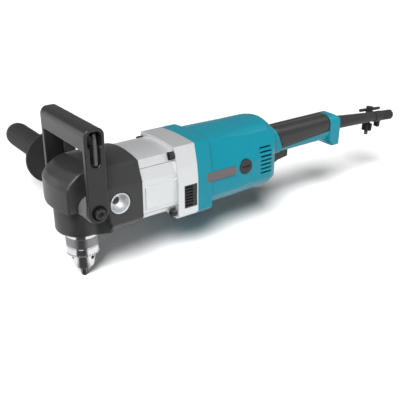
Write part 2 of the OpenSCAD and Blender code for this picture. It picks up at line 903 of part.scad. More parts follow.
module layshaft_gear() {
    color(steel) in_tool() difference() {
        translate([0, lay_y, lay_z]) along_x(lay_gear_x, lay_gear_w)
            spur_outline(spur_module, lay_teeth, lay_turn);
        rod_x(lay_gear_x - over, lay_r + seat, lay_gear_w + 2 * over, lay_y, lay_z);
        // Weight-saving recess on each face
        for (x = [lay_gear_x - over, lay_gear_x + lay_gear_w - 2]) difference() {
            rod_x(x, 13.5, 2 + over, lay_y, lay_z);
            rod_x(x - over, 8, 6, lay_y, lay_z);
        }
    }
}

module layshaft_bearings() {
    color(steel) in_tool() for (x = [lay_x, plate_x])
        translate([x, lay_y, lay_z]) rotate([0, 90, 0]) bearing(lay_r + run, lay_bearing_r, lay_bearing_w);
}

// Gear housing

bolt_spots = [[36, 37], [-36, 37], [38.8, -38.8], [-38.8, -38.8]];

// Opening in the side of the flange that the louvre fills
module window(y0, y1, grow = 0) {
    block([flange_x + window_front - grow, y0, window_low - grow],
        [joint_x - window_back + grow, y1, window_high + grow]);
}

module gear_housing() {
    color(alloy) in_tool() difference() {
        union() {
            along_x(seam_x, gear_len + over) gear_outline(0);
            along_x(flange_x, flange_len) flange_outline(0);
            // Raised flats along each side
            both_sides() block([seam_x + 5, -gear_half - 0.8, -22], [flange_x + over, -gear_half + 1, 8]);
        }
        // Front room for the driven gear, with posts left for the head screws
        difference() {
            along_x(seam_x - over, web_x - seam_x + over) gear_outline(-cast_wall);
            for (p = head_screw_spots) rod_x(seam_x - 2 * over, 6.5, post_len + 2 * over, p[0], p[1]);
        }
        // Room for the layshaft gear and the pocket of the bearing plate
        along_x(web_x + web_t, plate_x - web_x - web_t) gear_outline(-cast_wall);
        intersection() {
            along_x(plate_x - over, plate_t + 2 * over) gear_outline(-cast_wall);
            rod_x(web_x, fan_room_r, joint_x);
        }
        // Fan room in the flange, and the way out for its air
        rod_x(plate_x + plate_t, fan_room_r, joint_x);
        window(-flange_half - over, flange_half + over);
        // Holes in the web
        rod_x(web_x - over, rear_bearing_r + seat, web_t + 2 * over);
        rod_x(web_x - over, lay_r + 1.5, web_t + 2 * over, lay_y, lay_z);
        // Screw holes
        for (p = head_screw_spots) {
            rod_x(seam_x - over, head_screw_r + seat, post_len + 2 * over, p[0], p[1]);
            rod_x(web_x - over, head_screw_head + 0.4, web_t + 2 * over, p[0], p[1]);
        }
        for (p = bolt_spots) rod_x(flange_x - over, bolt_r + seat, flange_len + 2 * over, p[0], p[1]);
        for (p = bolt_spots) rod_x(flange_x - 8, bolt_head_r + 0.3, 8, p[0], p[1]);
    }
}

module head_screws() {
    color(black) in_tool() for (p = head_screw_spots) mirror([1, 0, 0])
        cap_screw(-seam_x - post_len, p[0], p[1], head_screw_r, post_len + 12, head_screw_head, 5);
}

module housing_screws() {
    color(black) in_tool() for (p = bolt_spots)
        cap_screw(flange_x, p[0], p[1], bolt_r, flange_len + 14, bolt_head_r, bolt_head_h);
}

// Louvre insert with level slats in its open front part
slat_count = 7;
module louvre(side) {
    gap = 0.15;
    outer = flange_half - 0.5;
    deep = 5;
    pitch = (window_high - window_low - 3) / slat_count;
    slot_front = flange_x + window_front + 2;
    slot_back = joint_x - window_back - 6;
    color(black) in_tool() mirror([0, side > 0 ? 1 : 0, 0]) difference() {
        window(-outer, -outer + deep, -gap);
        for (i = [0:slat_count - 1]) let (z = window_low + 1.5 + (i + 0.5) * pitch)
            block([slot_front, -outer - over, z - 1.2], [slot_back, -outer + deep + over, z + 1.2]);
    }
}
module louvre_near() {
    louvre(-1);
}
module louvre_far() {
    louvre(1);
}

// Plate that carries the motor's front bearing and the layshaft's rear bearing
module bearing_plate() {
    color(alloy) in_tool() difference() {
        intersection() {
            along_x(plate_x, plate_t) gear_outline(-cast_wall - seat);
            rod_x(plate_x - over, fan_room_r - seat, plate_t + 2 * over);
        }
        rod_x(plate_x - over, shaft_r + 0.6, plate_t + 2 * over);
        rod_x(plate_x + plate_t - motor_bearing_w, motor_bearing_r + seat, motor_bearing_w + over);
        rod_x(plate_x - over, lay_bearing_r + seat, lay_bearing_w + over, lay_y, lay_z);
    }
}

// Motor

module armature_shaft() {
    nose = lay_gear_x - 2;
    color(steel) in_tool() {
        rod_x(plate_x - 0.5, shaft_r, rear_bearing_x + motor_bearing_w - plate_x);
        along_x(nose, plate_x - nose) spur_outline(spur_module, motor_teeth, motor_turn);
    }
}

module armature_core() {
    slots = 22;
    color(steel) in_tool() difference() {
        union() {
            rod_x(stator_x, core_r, stator_len);
            // Coil heads
            rod_x(stator_x - 8, core_r - 5, 8.01);
            rod_x(stator_x + stator_len - 0.01, core_r - 5, 7);
        }
        rod_x(stator_x - 20, shaft_r + seat, stator_len + 40);
        for (i = [0:slots - 1]) rotate([i * 360 / slots, 0, 0])
            block([stator_x - over, -0.8, core_r - 3.5], [stator_x + stator_len + over, 0.8, core_r + over]);
    }
}

module commutator() {
    bars = 22;
    color(copper) in_tool() difference() {
        rod_x(commutator_x, commutator_r, commutator_len);
        rod_x(commutator_x - over, shaft_r + seat, commutator_len + 2 * over);
        for (i = [0:bars - 1]) rotate([(i + 0.5) * 360 / bars, 0, 0])
            block([commutator_x - over, -0.25, commutator_r - 1],
                [commutator_x + commutator_len + over, 0.25, commutator_r + over]);
    }
}

module fan() {
    hub_r = shaft_r + 5;
    color(black) in_tool() difference() {
        union() {
            rod_x(fan_x, hub_r, fan_len);
            // Back plate and blades
            rod_x(fan_x + fan_len - 2, fan_r, 2);
            for (i = [0:fan_blades - 1]) rotate([i * 360 / fan_blades, 0, 0])
                block([fan_x, -0.9, hub_r - 1], [fan_x + fan_len - 1, 0.9, fan_r - 0.5]);
        }
        rod_x(fan_x - over, shaft_r + seat, fan_len + 2 * over);
    }
}

module motor_bearing_front() {
    color(steel) in_tool() translate([plate_x + plate_t - motor_bearing_w, 0, 0]) rotate([0, 90, 0])
        bearing(shaft_r + run, motor_bearing_r, motor_bearing_w);
}

module motor_bearing_rear() {
    color(steel) in_tool() translate([rear_bearing_x, 0, 0]) rotate([0, 90, 0])
        bearing(shaft_r + run, rear_motor_bearing_r, motor_bearing_w);
}

module stator_core() {
    bore = core_r + air_gap;
    color(steel) in_tool() difference() {
        rod_x(stator_x, stator_r, stator_len);
        rod_x(stator_x - over, bore, stator_len + 2 * over);
        // Windows for the field coils, above and below the poles
        for (side = [-1, 1]) block([stator_x - over, side > 0 ? 9 : -coil_half, -coil_half],
            [stator_x + stator_len + over, side > 0 ? coil_half : -9, coil_half]);
    }
}

module field_coils() {
    bore = core_r + air_gap + 0.4;
    front = stator_x - 4;
    back = stator_x + stator_len + 5;
    color(copper) in_tool() for (side = [-1, 1]) difference() {
        block([front, side > 0 ? 9.1 : -coil_half + 0.1, -coil_half + 0.1],
            [back, side > 0 ? coil_half - 0.1 : -9.1, coil_half - 0.1]);
        rod_x(front - over, bore, back - front + 2 * over);
    }
}

// Air guide between the fan and the windings
module baffle() {
    color(black) in_tool() difference() {
        rod_x(baffle_x + 0.1, baffle_r, baffle_t);
        rod_x(baffle_x - over, shaft_r + 15, baffle_t + 2 * over);
    }
}

module brush_holders() {
    color(copper) in_tool() both_sides() difference() {
        rod_y(brush_x, -motor_half + 4, brush_z, holder_r, motor_half - 4 - holder_in);
        block([brush_x - brush_half_x - 0.1, -motor_half, brush_z - brush_half_z - 0.1],
            [brush_x + brush_half_x + 0.1, 0, brush_z + brush_half_z + 0.1]);
    }
}

module carbon_brushes() {
    color(black) in_tool() both_sides() difference() {
        block([brush_x - brush_half_x, -commutator_r - 20, brush_z - brush_half_z],
            [brush_x + brush_half_x, 0, brush_z + brush_half_z]);
        rod_x(brush_x - 20, commutator_r + pass, 40);
    }
}

module brush_caps() {
    proud = 0.8;
    color(black) in_tool() both_sides() difference() {
        union() {
            rod_y(brush_x, -motor_half - proud, brush_z, brush_cap_r, 3 + proud);
            rod_y(brush_x, -motor_half + 2.9, brush_z, holder_r - 0.6, 1);
        }
        // Slot for a screwdriver
        block([brush_x - 6.5, -motor_half - proud - over, brush_z - 0.9],
            [brush_x + 6.5, -motor_half - proud + 1.6, brush_z + 0.9]);
    }
}

module motor_housing() {
    color(teal) in_tool() difference() {
        union() {
            along_x(joint_x, collar_len) flange_outline(0);
            motor_form(step_x - collar_root, rear_x, 0);
            // Rim that the rear cover clips over, and the seat of the rear bearing
            motor_form(rear_x - 8, rear_x + rim_len, -shell_wall - 0.1);
            rod_x(rear_x - 1, rear_motor_bearing_r + 3, rear_bearing_x + motor_bearing_w - rear_x + 1.5);
        }
        // Inside, from the collar to the rear wall
        rod_x(joint_x - over, baffle_r + seat, baffle_t + over + 0.2);
        difference() {
            intersection() {
                along_x(joint_x + baffle_t, rear_x - 1 - joint_x - baffle_t) motor_outline(-shell_wall);
                union() {
                    dome_form(-shell_wall);
                    rod_x(joint_x, corner_r_front - shell_wall - 8, collar_len + 1);
                }
            }
            // Cradle round the stator
            difference() {
                rod_x(stator_x + 2, 200, stator_len - 4);
                rod_x(stator_x, stator_r + seat, stator_len + over);
            }
            // Bosses for the brush holders
            both_sides() rod_y(brush_x, -motor_half, brush_z, holder_r + 2.5, 12);
        }
        rod_x(joint_x, stator_r + seat, stator_x + stator_len - joint_x + over);
        // Bearing seat and the shaft's way through the rear wall
        rod_x(rear_bearing_x, rear_motor_bearing_r + seat, 40);
        rod_x(rear_x - 2, shaft_r + 2, 20);
        // Air holes through the rear wall and rim
        difference() {
            motor_form(rear_x - 2, rear_x + rim_len + over, -shell_wall - 3);
            rod_x(rear_x - 3, rear_motor_bearing_r + 3, 40);
            block([rear_x - 3, -200, -5], [rear_x + rim_len + 2, 200, 5]);
            block([rear_x - 3, -5, -200], [rear_x + rim_len + 2, 5, 200]);
        }
        // Brush holders, their caps and the front screws
        both_sides() {
            rod_y(brush_x, -motor_half - 2, brush_z, brush_cap_r + seat, 5);
            rod_y(brush_x, -motor_half, brush_z, holder_r + seat, 13);
        }
        for (p = bolt_spots) rod_x(joint_x - over, bolt_r + seat, 15 + over, p[0], p[1]);
        window(-flange_half - over, flange_half + over);
    }
}

// Rear cover and handle, in two halves

pad_x0 = grip_x + front_ring;
pad_x1 = end_x - end_ring;
neck_end = pad_x0 - neck_gap;
pad_low = -2;
pad_rise = 7;
vent_x = grip_x - 42.4;
vent_z = 0.9;
screw_spots = [[rear_x + 14, 33], [rear_x + 14, -28], [end_x - 8, -7]];
screw_r = 2;
screw_head_r = 4;
trigger_x0 = grip_x + 16;
trigger_x1 = trigger_x0 + 27;
trigger_half = 6;
button_x = trigger_x0 + 16;
button_r = 5;

// Space that the soft pads fill
module pad_space(gap = 0) {
    difference() {
        // The front edge slants back on its way down
        intersection() {
            along_x(pad_x0, pad_x1 - pad_x0) grip_outline(0.4);
            along_y(-50, 100) polygon([
                [pad_x0 + gap, 100], [pad_x0 + gap, grip_top], [pad_x0 + pad_slant + gap, pad_low + gap],
                [pad_x1 - gap, pad_low + pad_rise + gap], [pad_x1 - gap, 100]
            ]);
        }
        along_x(pad_x0 - over, pad_x1 - pad_x0 + 2 * over) grip_outline(-pad_t + gap);
    }
}

module guard_axis() {
    translate([end_x, 0, guard_z]) rotate([0, 90 + guard_droop, 0]) children();
}

module handle_shell() {
    difference() {
        union() {
            difference() {
                union() {
                    handle_form();
                    // Lip behind the little finger, and the narrower web in front of it
                    intersection() {
                        along_x(end_x - end_ring + 1, end_ring - 1)
                            round_box(grip_half + end_up - 0.3, -lip_depth, 0, 4, 3);
                        along_y(-50, 100) polygon([
                            [end_x - end_ring, 0], [end_x - end_ring, -8], [end_x - 12, -lip_depth],
                            [end_x, -lip_depth - 0.5], [end_x, 0]
                        ]);
                    }
                    intersection() {
                        along_x(end_x - lip_len, lip_len - 5) round_box(web_half, 1 - lip_depth, 0, 4, 3);
                        along_y(-50, 100) polygon([
                            [end_x - lip_len, 0], [end_x - lip_len, -grip_bottom + 1],
                            [end_x - 14, 2.2 - lip_depth], [end_x - 4, 2.2 - lip_depth], [end_x - 4, 0]
                        ]);
                    }
                }
                handle_space();
                // Open front that takes the motor housing's rim
                motor_form(rear_x - over, rear_x + rim_len + 0.5, -shell_wall);
            }
            // Posts for the screws that hold the halves together
            intersection() {
                for (p = screw_spots) rod_y(p[0], -60, p[1], 5.5, 120);
                handle_form();
            }
        }
        pad_space(0);
        // Vents, level with the collar of the brushes
        for (i = [0:vent_count - 1]) let (z = vent_z + (i - (vent_count - 1) / 2) * vent_pitch)
            block([vent_x, -100, z - vent_h / 2], [vent_x + vent_len, 100, z + vent_h / 2]);
        // Trigger, lock button, lever and cord guard
        block([trigger_x0 - 0.5, -trigger_half - 0.5, -grip_bottom - neck_up - over],
            [trigger_x1 + 0.5, trigger_half + 0.5, 0]);
        rod_y(button_x, 0, button_z, button_r + pass, 100);
        translate([lever_x, 0, -30]) cylinder(r = lever_r + run, h = 30);
        guard_axis() translate([0, 0, -11.5]) cylinder(r = guard_r + seat, h = 30);
        guard_axis() translate([0, 0, -11.5]) cylinder(r = guard_collar_r + seat, h = 4.1);
        for (p = screw_spots) {
            rod_y(p[0], -9, p[1], screw_r + seat, 100);
            rod_y(p[0], screw_seat_y, p[1], screw_head_r + 0.2, 100);
        }
    }
}

module handle_near() {
    color(teal) in_tool() intersection() {
        handle_shell();
        block([0, -200, -200], [end_x + 50, -parting / 2, 200]);
    }
}
module handle_far() {
    color(teal) in_tool() intersection() {
        handle_shell();
        block([0, parting / 2, -200], [end_x + 50, 200, 200]);
    }
}

module grip_near() {
    color(soft_black) in_tool() intersection() {
        pad_space(seat);
        block([0, -200, -200], [end_x, -parting / 2, 200]);
    }
}
module grip_far() {
    color(soft_black) in_tool() difference() {
        intersection() {
            pad_space(seat);
            block([0, parting / 2, -200], [end_x, 200, 200]);
        }
        rod_y(button_x, 0, button_z, button_r + pass, 100);
    }
}

module handle_screws() {
    color(black) in_tool() for (p = screw_spots) translate([p[0], 0, p[1]]) difference() {
        union() {
            rod_y(0, -8, 0, screw_r, screw_seat_y + 8);
            rod_y(0, screw_seat_y, 0, screw_head_r, 3);
        }
        for (a = [0, 90]) rotate([0, a, 0])
            block([-2.4, screw_seat_y + 1.4, -0.5], [2.4, screw_seat_y + 4, 0.5]);
    }
}

// Switch and cord

module switch_block() {
    color(black) in_tool() difference() {
        union() {
            block([trigger_x0 - 1, -inner_half, 2], [trigger_x0 + 43, inner_half, 14]);
            block([trigger_x0 + 4, -9, 14 - over], [trigger_x0 + 38, 9, 21]);
        }
        rod_y(button_x, 0, button_z, button_r - 2, 100);
        // Room for the lock button's travel
        rod_y(button_x, inner_half - 4, button_z, button_r + pass, 10);
    }
}

module trigger() {
    color(black) in_tool() difference() {
        along_y(-trigger_half, 2 * trigger_half) polygon([
            [trigger_x0, -2.5], [trigger_x0, trigger_low + 1.5], [trigger_x0 + 1.5, trigger_low],
            [trigger_x0 + 4.5, trigger_low + 0.6], [trigger_x0 + 8, trigger_low + 2.4],
            [trigger_x1 - 2, trigger_low + 4.8], [trigger_x1, trigger_low + 6.5], [trigger_x1, -2.5]
        ]);
        // Finger hollow
        rod_y(trigger_x0 + 16, -20, trigger_low - 26, 29, 40);
    }
}

module lock_button() {
    color(black) in_tool() {
        rod_y(button_x, grip_half - 2.7, button_z, button_r, 5.2);
        rod_y(button_x, inner_half - 0.5, button_z, button_r - 2.5, 3);
    }
}

// Lever that turns about an upright pin behind the dome
module reversing_lever() {
    color(black) in_tool() {
        block([lever_x - 2, -lever_half, lever_low], [lever_x + 2, lever_half, lever_top]);
        translate([lever_x, 0, lever_low + 0.5])
            cylinder(r = lever_r, h = inner_bottom_gap + 0.2 - grip_bottom - lever_low - 0.5);
        translate([lever_x, 0, -grip_bottom + inner_bottom_gap + 0.1]) cylinder(r = lever_r + 1.3, h = 1.6);
    }
}

module cord_guard() {
    color(black) in_tool() guard_axis() difference() {
        union() {
            translate([0, 0, -11.4]) cylinder(r = guard_collar_r, h = 4);
            translate([0, 0, -8]) cylinder(r = guard_r, h = 8);
            cylinder(r1 = guard_r, r2 = guard_tip_r, h = guard_len);
            translate([0, 0, guard_len - 0.01]) cylinder(r = guard_tip_r - 1, h = tail_len);
            for (i = [0:4]) translate([0, 0, guard_len + i * (tail_len - 3) / 4])
                cylinder(r = guard_tip_r + 0.8, h = 3);
        }
        translate([0, 0, -12]) cylinder(r = guard_bore_r, h = guard_len + tail_len + 20);
    }
}

// Clamp that grips the cord inside the handle
module cord_clamp() {
    color(black) in_tool() difference() {
        block([clamp_x, -inner_half, 3], [clamp_x + 10, inner_half, 14]);
        rod_x(clamp_x - over, guard_bore_r + 0.1, 10 + 2 * over, 0, guard_at(clamp_x));
    }
}

// Bail handle

// Side of the bail seen along Y: a strap with a round lower end and the round-edged bar
module bail_side(top, bottom) {
    translate([bail_x, 0]) {
        translate([-arm_w / 2, bottom]) square([arm_w, top - bottom - bar_round]);
        translate([-arm_w / 2 + bar_round, top - bar_round - 0.01])
            square([arm_w - 2 * bar_round, bar_round + 0.01]);
        for (side = [-1, 1]) translate([side * (arm_w / 2 - bar_round), top - bar_round]) circle(bar_round);
    }
}

module along_y(y, len) {
    translate([0, y + len, 0]) rotate([90, 0, 0]) linear_extrude(len) children();
}

module bail_handle() {
    color(black) in_tool() difference() {
        union() {
            // Bar
            along_y(-bail_half, 2 * bail_half) bail_side(bail_top, bar_bottom);
            // Arms
            both_sides() {
                along_y(-bail_half, arm_t) bail_side(bail_top, -pivot_drop);
                rod_y(bail_x, -bail_half, -pivot_drop, arm_w / 2, arm_t);
            }
        }
        // Hollow of the bar, open at both ends as an arch
        difference() {
            along_y(-bail_half - over, 2 * bail_half + 2 * over) translate([bail_x, 0])
                round_box(arm_w / 2 - hollow, bar_bottom + hollow, bail_top - hollow, 7, 2);
            // Wall that holds the short leg of the hex wrench
            block([bail_x - 20, wrench_y + 10, bar_bottom], [bail_x + 20, wrench_y + 14, bail_top]);
        }
        rod_y(bail_x, wrench_y, wrench_z, wrench_r / cos(30) + run, 30);
        // Channels in the outside of the arms, one of them for the hex wrench
        both_sides() {
            block([bail_x - channel, -bail_half - over, wrench_z - wrench_len + 3],
                [bail_x + channel, -bail_half + 4, bar_bottom + hollow + over]);
            rod_y(bail_x, -bail_half - over, wrench_z - wrench_len + 3, channel, 4 + over);
        }
        // Pivot holes
        both_sides() rod_y(bail_x, -bail_half - over, -pivot_drop, pivot_r + run, arm_t + 2 * over);
    }
}

module bail_bolts() {
    color(black) in_tool() both_sides() difference() {
        union() {
            rod_y(bail_x, -bail_half - pass, -pivot_drop, pivot_r, arm_t + 2 * pass);
            rod_y(bail_x, -boss_y - 0.01, -pivot_drop, bolt_thread_r, bolt_thread_len);
            rod_y(bail_x, -bail_half - pass - washer_t - 3.2, -pivot_drop, 6.6, 3.2);
            rod_y(bail_x, -bail_half - pass - washer_t - 0.01, -pivot_drop, 4.5, washer_t + 0.02);
        }
        translate([bail_x, -bail_half - pass - washer_t - 3.2 - over, -pivot_drop]) rotate([-90, 0, 0])
            cylinder(r = 3.4, h = 2.6 + over, $fn = 6);
    }
}

module bail_washers() {
    color(black) in_tool() both_sides() difference() {
        rod_y(bail_x, -bail_half - pass - washer_t, -pivot_drop, washer_r, washer_t);
        rod_y(bail_x, -bail_half - pass - washer_t - over, -pivot_drop, 4.5 + seat, washer_t + 2 * over);
    }
}

// Hex wrench: long leg down the channel, a bend, and a short leg into the hollow bar
module hex_wrench() {
    bend = 6;
    side = wrench_r / cos(30);
    color(steel) in_tool() translate([bail_x, wrench_y, wrench_z]) {
        translate([0, 0, -wrench_len]) cylinder(r = side, h = wrench_len - bend, $fn = 6);
        translate([0, bend, 0]) rotate([-90, 0, 0]) cylinder(r = side, h = 16, $fn = 6);
        translate([0, bend, -bend]) rotate([90, 0, -90]) rotate_extrude(angle = 90)
            translate([bend, 0]) rotate(30) circle(side, $fn = 6);
    }
}

// Side grip

module side_grip_stem() {
    depth = counterbore_depth;
    color(steel) in_tool() {
        rod_y(socket_x, stem_y0 - depth - socket_thread_len + 1, -socket_drop,
            socket_thread_r - seat, socket_thread_len);
        rod_y(socket_x, stem_y0 - depth + seat, -socket_drop, counterbore_r - 0.1, depth + 4);
        rod_y(socket_x, stem_y0, -socket_drop, stem_r, stem_len + 0.01);
        rod_y(socket_x, disc_y - 0.01, -socket_drop, 6, side_grip_len - 23);
    }
}

module side_grip_disc() {
    color(black) in_tool() difference() {
        union() {
            rod_y(socket_x, disc_y + 0.05, -socket_drop, disc_r, disc_t);
            rod_y(socket_x, disc_y + 0.05, -socket_drop, side_grip_r + 3, disc_t + 3);
        }
        rod_y(socket_x, disc_y - over, -socket_drop, 6 + seat, 20);
    }
}

// Ribbed grip: a ribbed outline drawn along Y, with a domed end
module side_grip() {
    y0 = disc_y + disc_t + 3 + 0.1;
    dome = 14;
    straight = side_grip_len - disc_t - 3 - dome;
    color(black) in_tool() translate([socket_x, y0, -socket_drop]) rotate([-90, 0, 0]) difference() {
        union() {
            cylinder(r = side_grip_r - 0.8, h = straight);
            linear_extrude(straight - 4) for (i = [0:grip_ribs - 1]) rotate(i * 360 / grip_ribs)
                translate([side_grip_r - 1.2, -0.9]) square([1.2, 1.8]);
            // Domed end
            translate([0, 0, straight - 0.01]) rotate_extrude() intersection() {
                translate([0, dome - side_grip_r]) circle(side_grip_r);
                square([side_grip_r - 0.8, dome]);
            }
        }
        translate([0, 0, -over]) cylinder(r = 6 + seat, h = side_grip_len - 22 - disc_t - 3 + over);
    }
}

// Chuck

// Line of a jaw: from its tip, outwards and up
module jaw_axis(i) {
    rotate(first_jaw + i * 120) translate([jaw_foot, 0, -axis_h]) rotate([0, jaw_slope, 0]) children();
}

module chuck_body() {
    color(bright) in_tool() difference() {
        rotate_extrude() polygon([
            [0, chuck_low], [8, chuck_low], [9.6, chuck_low + 0.8], [12.4, chuck_low + 4.5],
            [14, chuck_low + 11], [14.6, chuck_low + 17], [15, sleeve_low], [neck_r, sleeve_low],
            [neck_r, sleeve_top + seat], [chuck_r, sleeve_top + seat], [chuck_r, chuck_top - 2],
            [chuck_r - 1.2, chuck_top], [0, chuck_top]
        ]);
        // Thread for the spindle and the way through for a drill
        translate([0, 0, chuck_top - thread_len]) cylinder(r = thread_r + seat, h = 20);
        translate([0, 0, chuck_low - over]) cylinder(r = capacity / 2 + 0.2, h = chuck_len);
        for (i = [0:2]) jaw_axis(i) translate([0, 0, -5])
            cylinder(r = jaw_r + run, h = 5 + jaw_len + jaw_travel + 0.6);
        // Holes for the key's pilot
        for (i = [0:2]) rotate(first_key_hole + i * 120) translate([6, 0, sleeve_low - 5])
            rotate([0, 90, 0]) cylinder(r = 3, h = 20);
    }
}

module chuck_sleeve() {
    color(bright) in_tool() difference() {
        union() {
            translate([0, 0, sleeve_low + 3]) cylinder(r = chuck_r + 0.2, h = sleeve_h - 3 - pass);
            // Key teeth round the lower edge
            translate([0, 0, sleeve_low]) linear_extrude(3.01) union() {
                circle(chuck_r - 1.4);
                for (i = [0:sleeve_teeth - 1]) rotate(i * 360 / sleeve_teeth)
                    polygon([
                        [chuck_r - 2.2, -0.95], [chuck_r + 0.2, -0.5],
                        [chuck_r + 0.2, 0.5], [chuck_r - 2.2, 0.95]
                    ]);
            }
        }
        translate([0, 0, sleeve_low - over]) cylinder(r = neck_r + run, h = sleeve_h + 2 * over);
    }
}

// A jaw: an inclined round bar whose inner side is cut to a third of the turn
module chuck_jaw(i) {
    gap = pass / 2;
    color(bright) in_tool() difference() {
        intersection() {
            jaw_axis(i) translate([0, 0, -5]) cylinder(r = jaw_r, h = jaw_len + 5);
            translate([0, 0, -axis_h]) cylinder(r = 60, h = 60);
        }
        // Planes towards the two neighbouring jaws
        rotate(first_jaw + i * 120) for (side = [-1, 1]) rotate(side * 60)
            translate([-60, side > 0 ? -gap : -60 + gap, -axis_h - 5]) cube([120, 60, 50]);
    }
}
module chuck_jaw_1() {
    chuck_jaw(0);
}
module chuck_jaw_2() {
    chuck_jaw(1);
}
module chuck_jaw_3() {
    chuck_jaw(2);
}

// Chuck key and its holder

// The key hangs in a holder on the guard and leans with it
module key_frame() {
    translate([key_x, key_y, guard_at(key_x)]) rotate([0, guard_droop, 0]) children();
}

// A ring on the guard, from s0 to s1 along its axis, with the guard's own taper inside
module guard_ring(s0, s1) {
    r0 = guard_radius(s0);
    r1 = guard_radius(s1);
    guard_axis() translate([0, 0, s0]) difference() {
        cylinder(r = r0 + 0.9, h = s1 - s0);
        translate([0, 0, -0.01]) cylinder(r1 = r0 + seat, r2 = r1 + seat, h = s1 - s0 + 0.02);
    }
}

module key_holder() {
    s = (key_x - end_x) / cos(guard_droop);
    color(black) in_tool() {
        guard_ring(s - 8, s + 8);
        difference() {
            key_frame() {
                translate([-7, 3 - key_y, -9]) cube([24, key_y - 3, 9]);
                // Lug beside the key
                translate([11, -12, -9 - lug_h]) cube([5, 8, 5 + lug_h]);
                translate([0, 0, -9]) cylinder(r = key_r + 2.6, h = 9);
            }
            guard_axis() translate([0, 0, s - 20]) cylinder(r = guard_radius(s - 8) + 0.5, h = 40);
            key_frame() translate([0, 0, -10]) cylinder(r = key_r + run, h = 20);
        }
    }
}

module chuck_key() {
    head = 11;
    color(black) in_tool() key_frame() difference() {
        union() {
            translate([0, 0, key_low]) cylinder(r = 2.9, h = 8);
            translate([0, 0, key_low + 7]) linear_extrude(head) union() {
                circle(5.6);
                for (i = [0:key_teeth - 1]) rotate(i * 360 / key_teeth)
                    polygon([[5, -1], [8, -0.6], [8, 0.6], [5, 1]]);
            }
            translate([0, 0, key_low + 7]) cylinder(r = key_r, h = key_top - key_low - 7);
            translate([0, 0, 0.2]) cylinder(r = key_r + 1.6, h = key_top + 3.3);
        }
        rod_x(-20, key_bar_r + run, 40, 0, key_top - 1);
    }
}

module key_bar() {
    color(bright) in_tool() key_frame()
        rod_x(-key_bar_len / 2, key_bar_r, key_bar_len, 0, key_top - 1);
}

head_cover();
gear_head();
nose_ring();
spindle_bearing_upper();
spindle_bearing_lower();
spindle();
bevel_gear();
chuck_body();
chuck_sleeve();
chuck_jaw_1();
chuck_jaw_2();
chuck_jaw_3();
pinion_shaft();
pinion_bearing_front();
pinion_bearing_rear();
driven_gear();
layshaft();
layshaft_gear();
layshaft_bearings();
gear_housing();
head_screws();
housing_screws();
louvre_near();
louvre_far();
bearing_plate();
armature_shaft();
armature_core();
commutator();
fan();
motor_bearing_front();
motor_bearing_rear();
stator_core();
field_coils();
baffle();
brush_holders();
carbon_brushes();
brush_caps();
motor_housing();
handle_near();
handle_far();
grip_near();
grip_far();
handle_screws();
switch_block();
trigger();
lock_button();
reversing_lever();
cord_guard();
cord_clamp();
bail_handle();
bail_bolts();
bail_washers();
hex_wrench();
side_grip_stem();
side_grip_disc();
side_grip();
key_holder();
chuck_key();
key_bar();
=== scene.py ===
"""Looks of the right angle drill: finishes, small fittings and a plain studio.

Metres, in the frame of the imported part: the origin is the mouth of the chuck, +X runs back
along the body, +Y towards the side grip and +Z up the spindle.
"""

import math

import bmesh
import bpy
import numpy as np
from mathutils import Matrix, Vector


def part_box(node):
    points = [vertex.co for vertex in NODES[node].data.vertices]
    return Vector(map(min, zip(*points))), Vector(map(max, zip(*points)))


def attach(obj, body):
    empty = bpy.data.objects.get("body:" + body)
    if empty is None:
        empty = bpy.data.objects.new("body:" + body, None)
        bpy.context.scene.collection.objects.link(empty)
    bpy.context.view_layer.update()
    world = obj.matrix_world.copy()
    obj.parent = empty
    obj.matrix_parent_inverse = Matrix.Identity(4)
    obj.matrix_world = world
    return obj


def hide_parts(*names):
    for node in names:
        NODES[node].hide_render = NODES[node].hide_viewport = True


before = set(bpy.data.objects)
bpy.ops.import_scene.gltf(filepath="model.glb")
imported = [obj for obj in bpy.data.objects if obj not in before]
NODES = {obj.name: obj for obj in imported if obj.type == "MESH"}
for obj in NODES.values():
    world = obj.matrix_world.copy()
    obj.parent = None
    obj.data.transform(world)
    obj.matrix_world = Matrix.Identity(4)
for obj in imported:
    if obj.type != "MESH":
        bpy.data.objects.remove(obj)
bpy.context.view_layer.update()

bl_info = {
    "name": "Right angle drill looks",
    "version": (1, 0, 0),
    "blender": (4, 5, 0),
    "location": "View3D > Sidebar > Drill",
    "description": "Finishes, small fittings and studio for a right angle drill",
    "category": "Object",
}

MM = 0.001

# Height of the motor axis, taken from the armature shaft
AXIS = sum(corner[2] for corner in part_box("armature_shaft")) / 2
# How far the louvres stand behind the flange, and the baffle behind the housing's joint
LOUVRE_SETBACK, BAFFLE_GAP = 8.85 * MM, 0.1 * MM
# Stations along the body and heights on the chuck, from the nodes themselves
FLANGE_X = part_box("louvre_near")[0][0] - LOUVRE_SETBACK
JOINT_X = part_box("baffle")[0][0] - BAFFLE_GAP
CHUCK_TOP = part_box("chuck_body")[1][2]
SLEEVE_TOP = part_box("chuck_sleeve")[1][2]

# The castings: where their side walls begin, the heights from the motor axis of two lines of
# painted crease shade,
# and the grey bosses' radius and the face that they stand beyond
WALL_Y = 34 * MM
CREASE_HEIGHTS = (30.6 * MM, -27 * MM)
BOSS_R, BOSS_Y = 16.5 * MM, 33.5 * MM
METAL = 0.86
# The smooth domed end of the side grip
GRIP_DOME = 18 * MM

# The knurled band: its radius, its depth, and its distance from the sleeve and the chuck's top
KNURL_R, KNURL_DEEP = 20.02 * MM, 0.32 * MM
BAND_OVER_SLEEVE, BAND_UNDER_TOP = 1.6 * MM, 7 * MM

# The badge plate: its middle from the joint, the housing's side and the axis, then its half
# length, half height, thickness and corner radius
BADGE_BACK, BADGE_SUNK, BADGE_DROP = 37.5 * MM, 1 * MM, 0.8 * MM
BADGE_HALF_X, BADGE_HALF_Z, BADGE_THICK, BADGE_CORNER = 23.5 * MM, 6 * MM, 1.4 * MM, 0.8 * MM

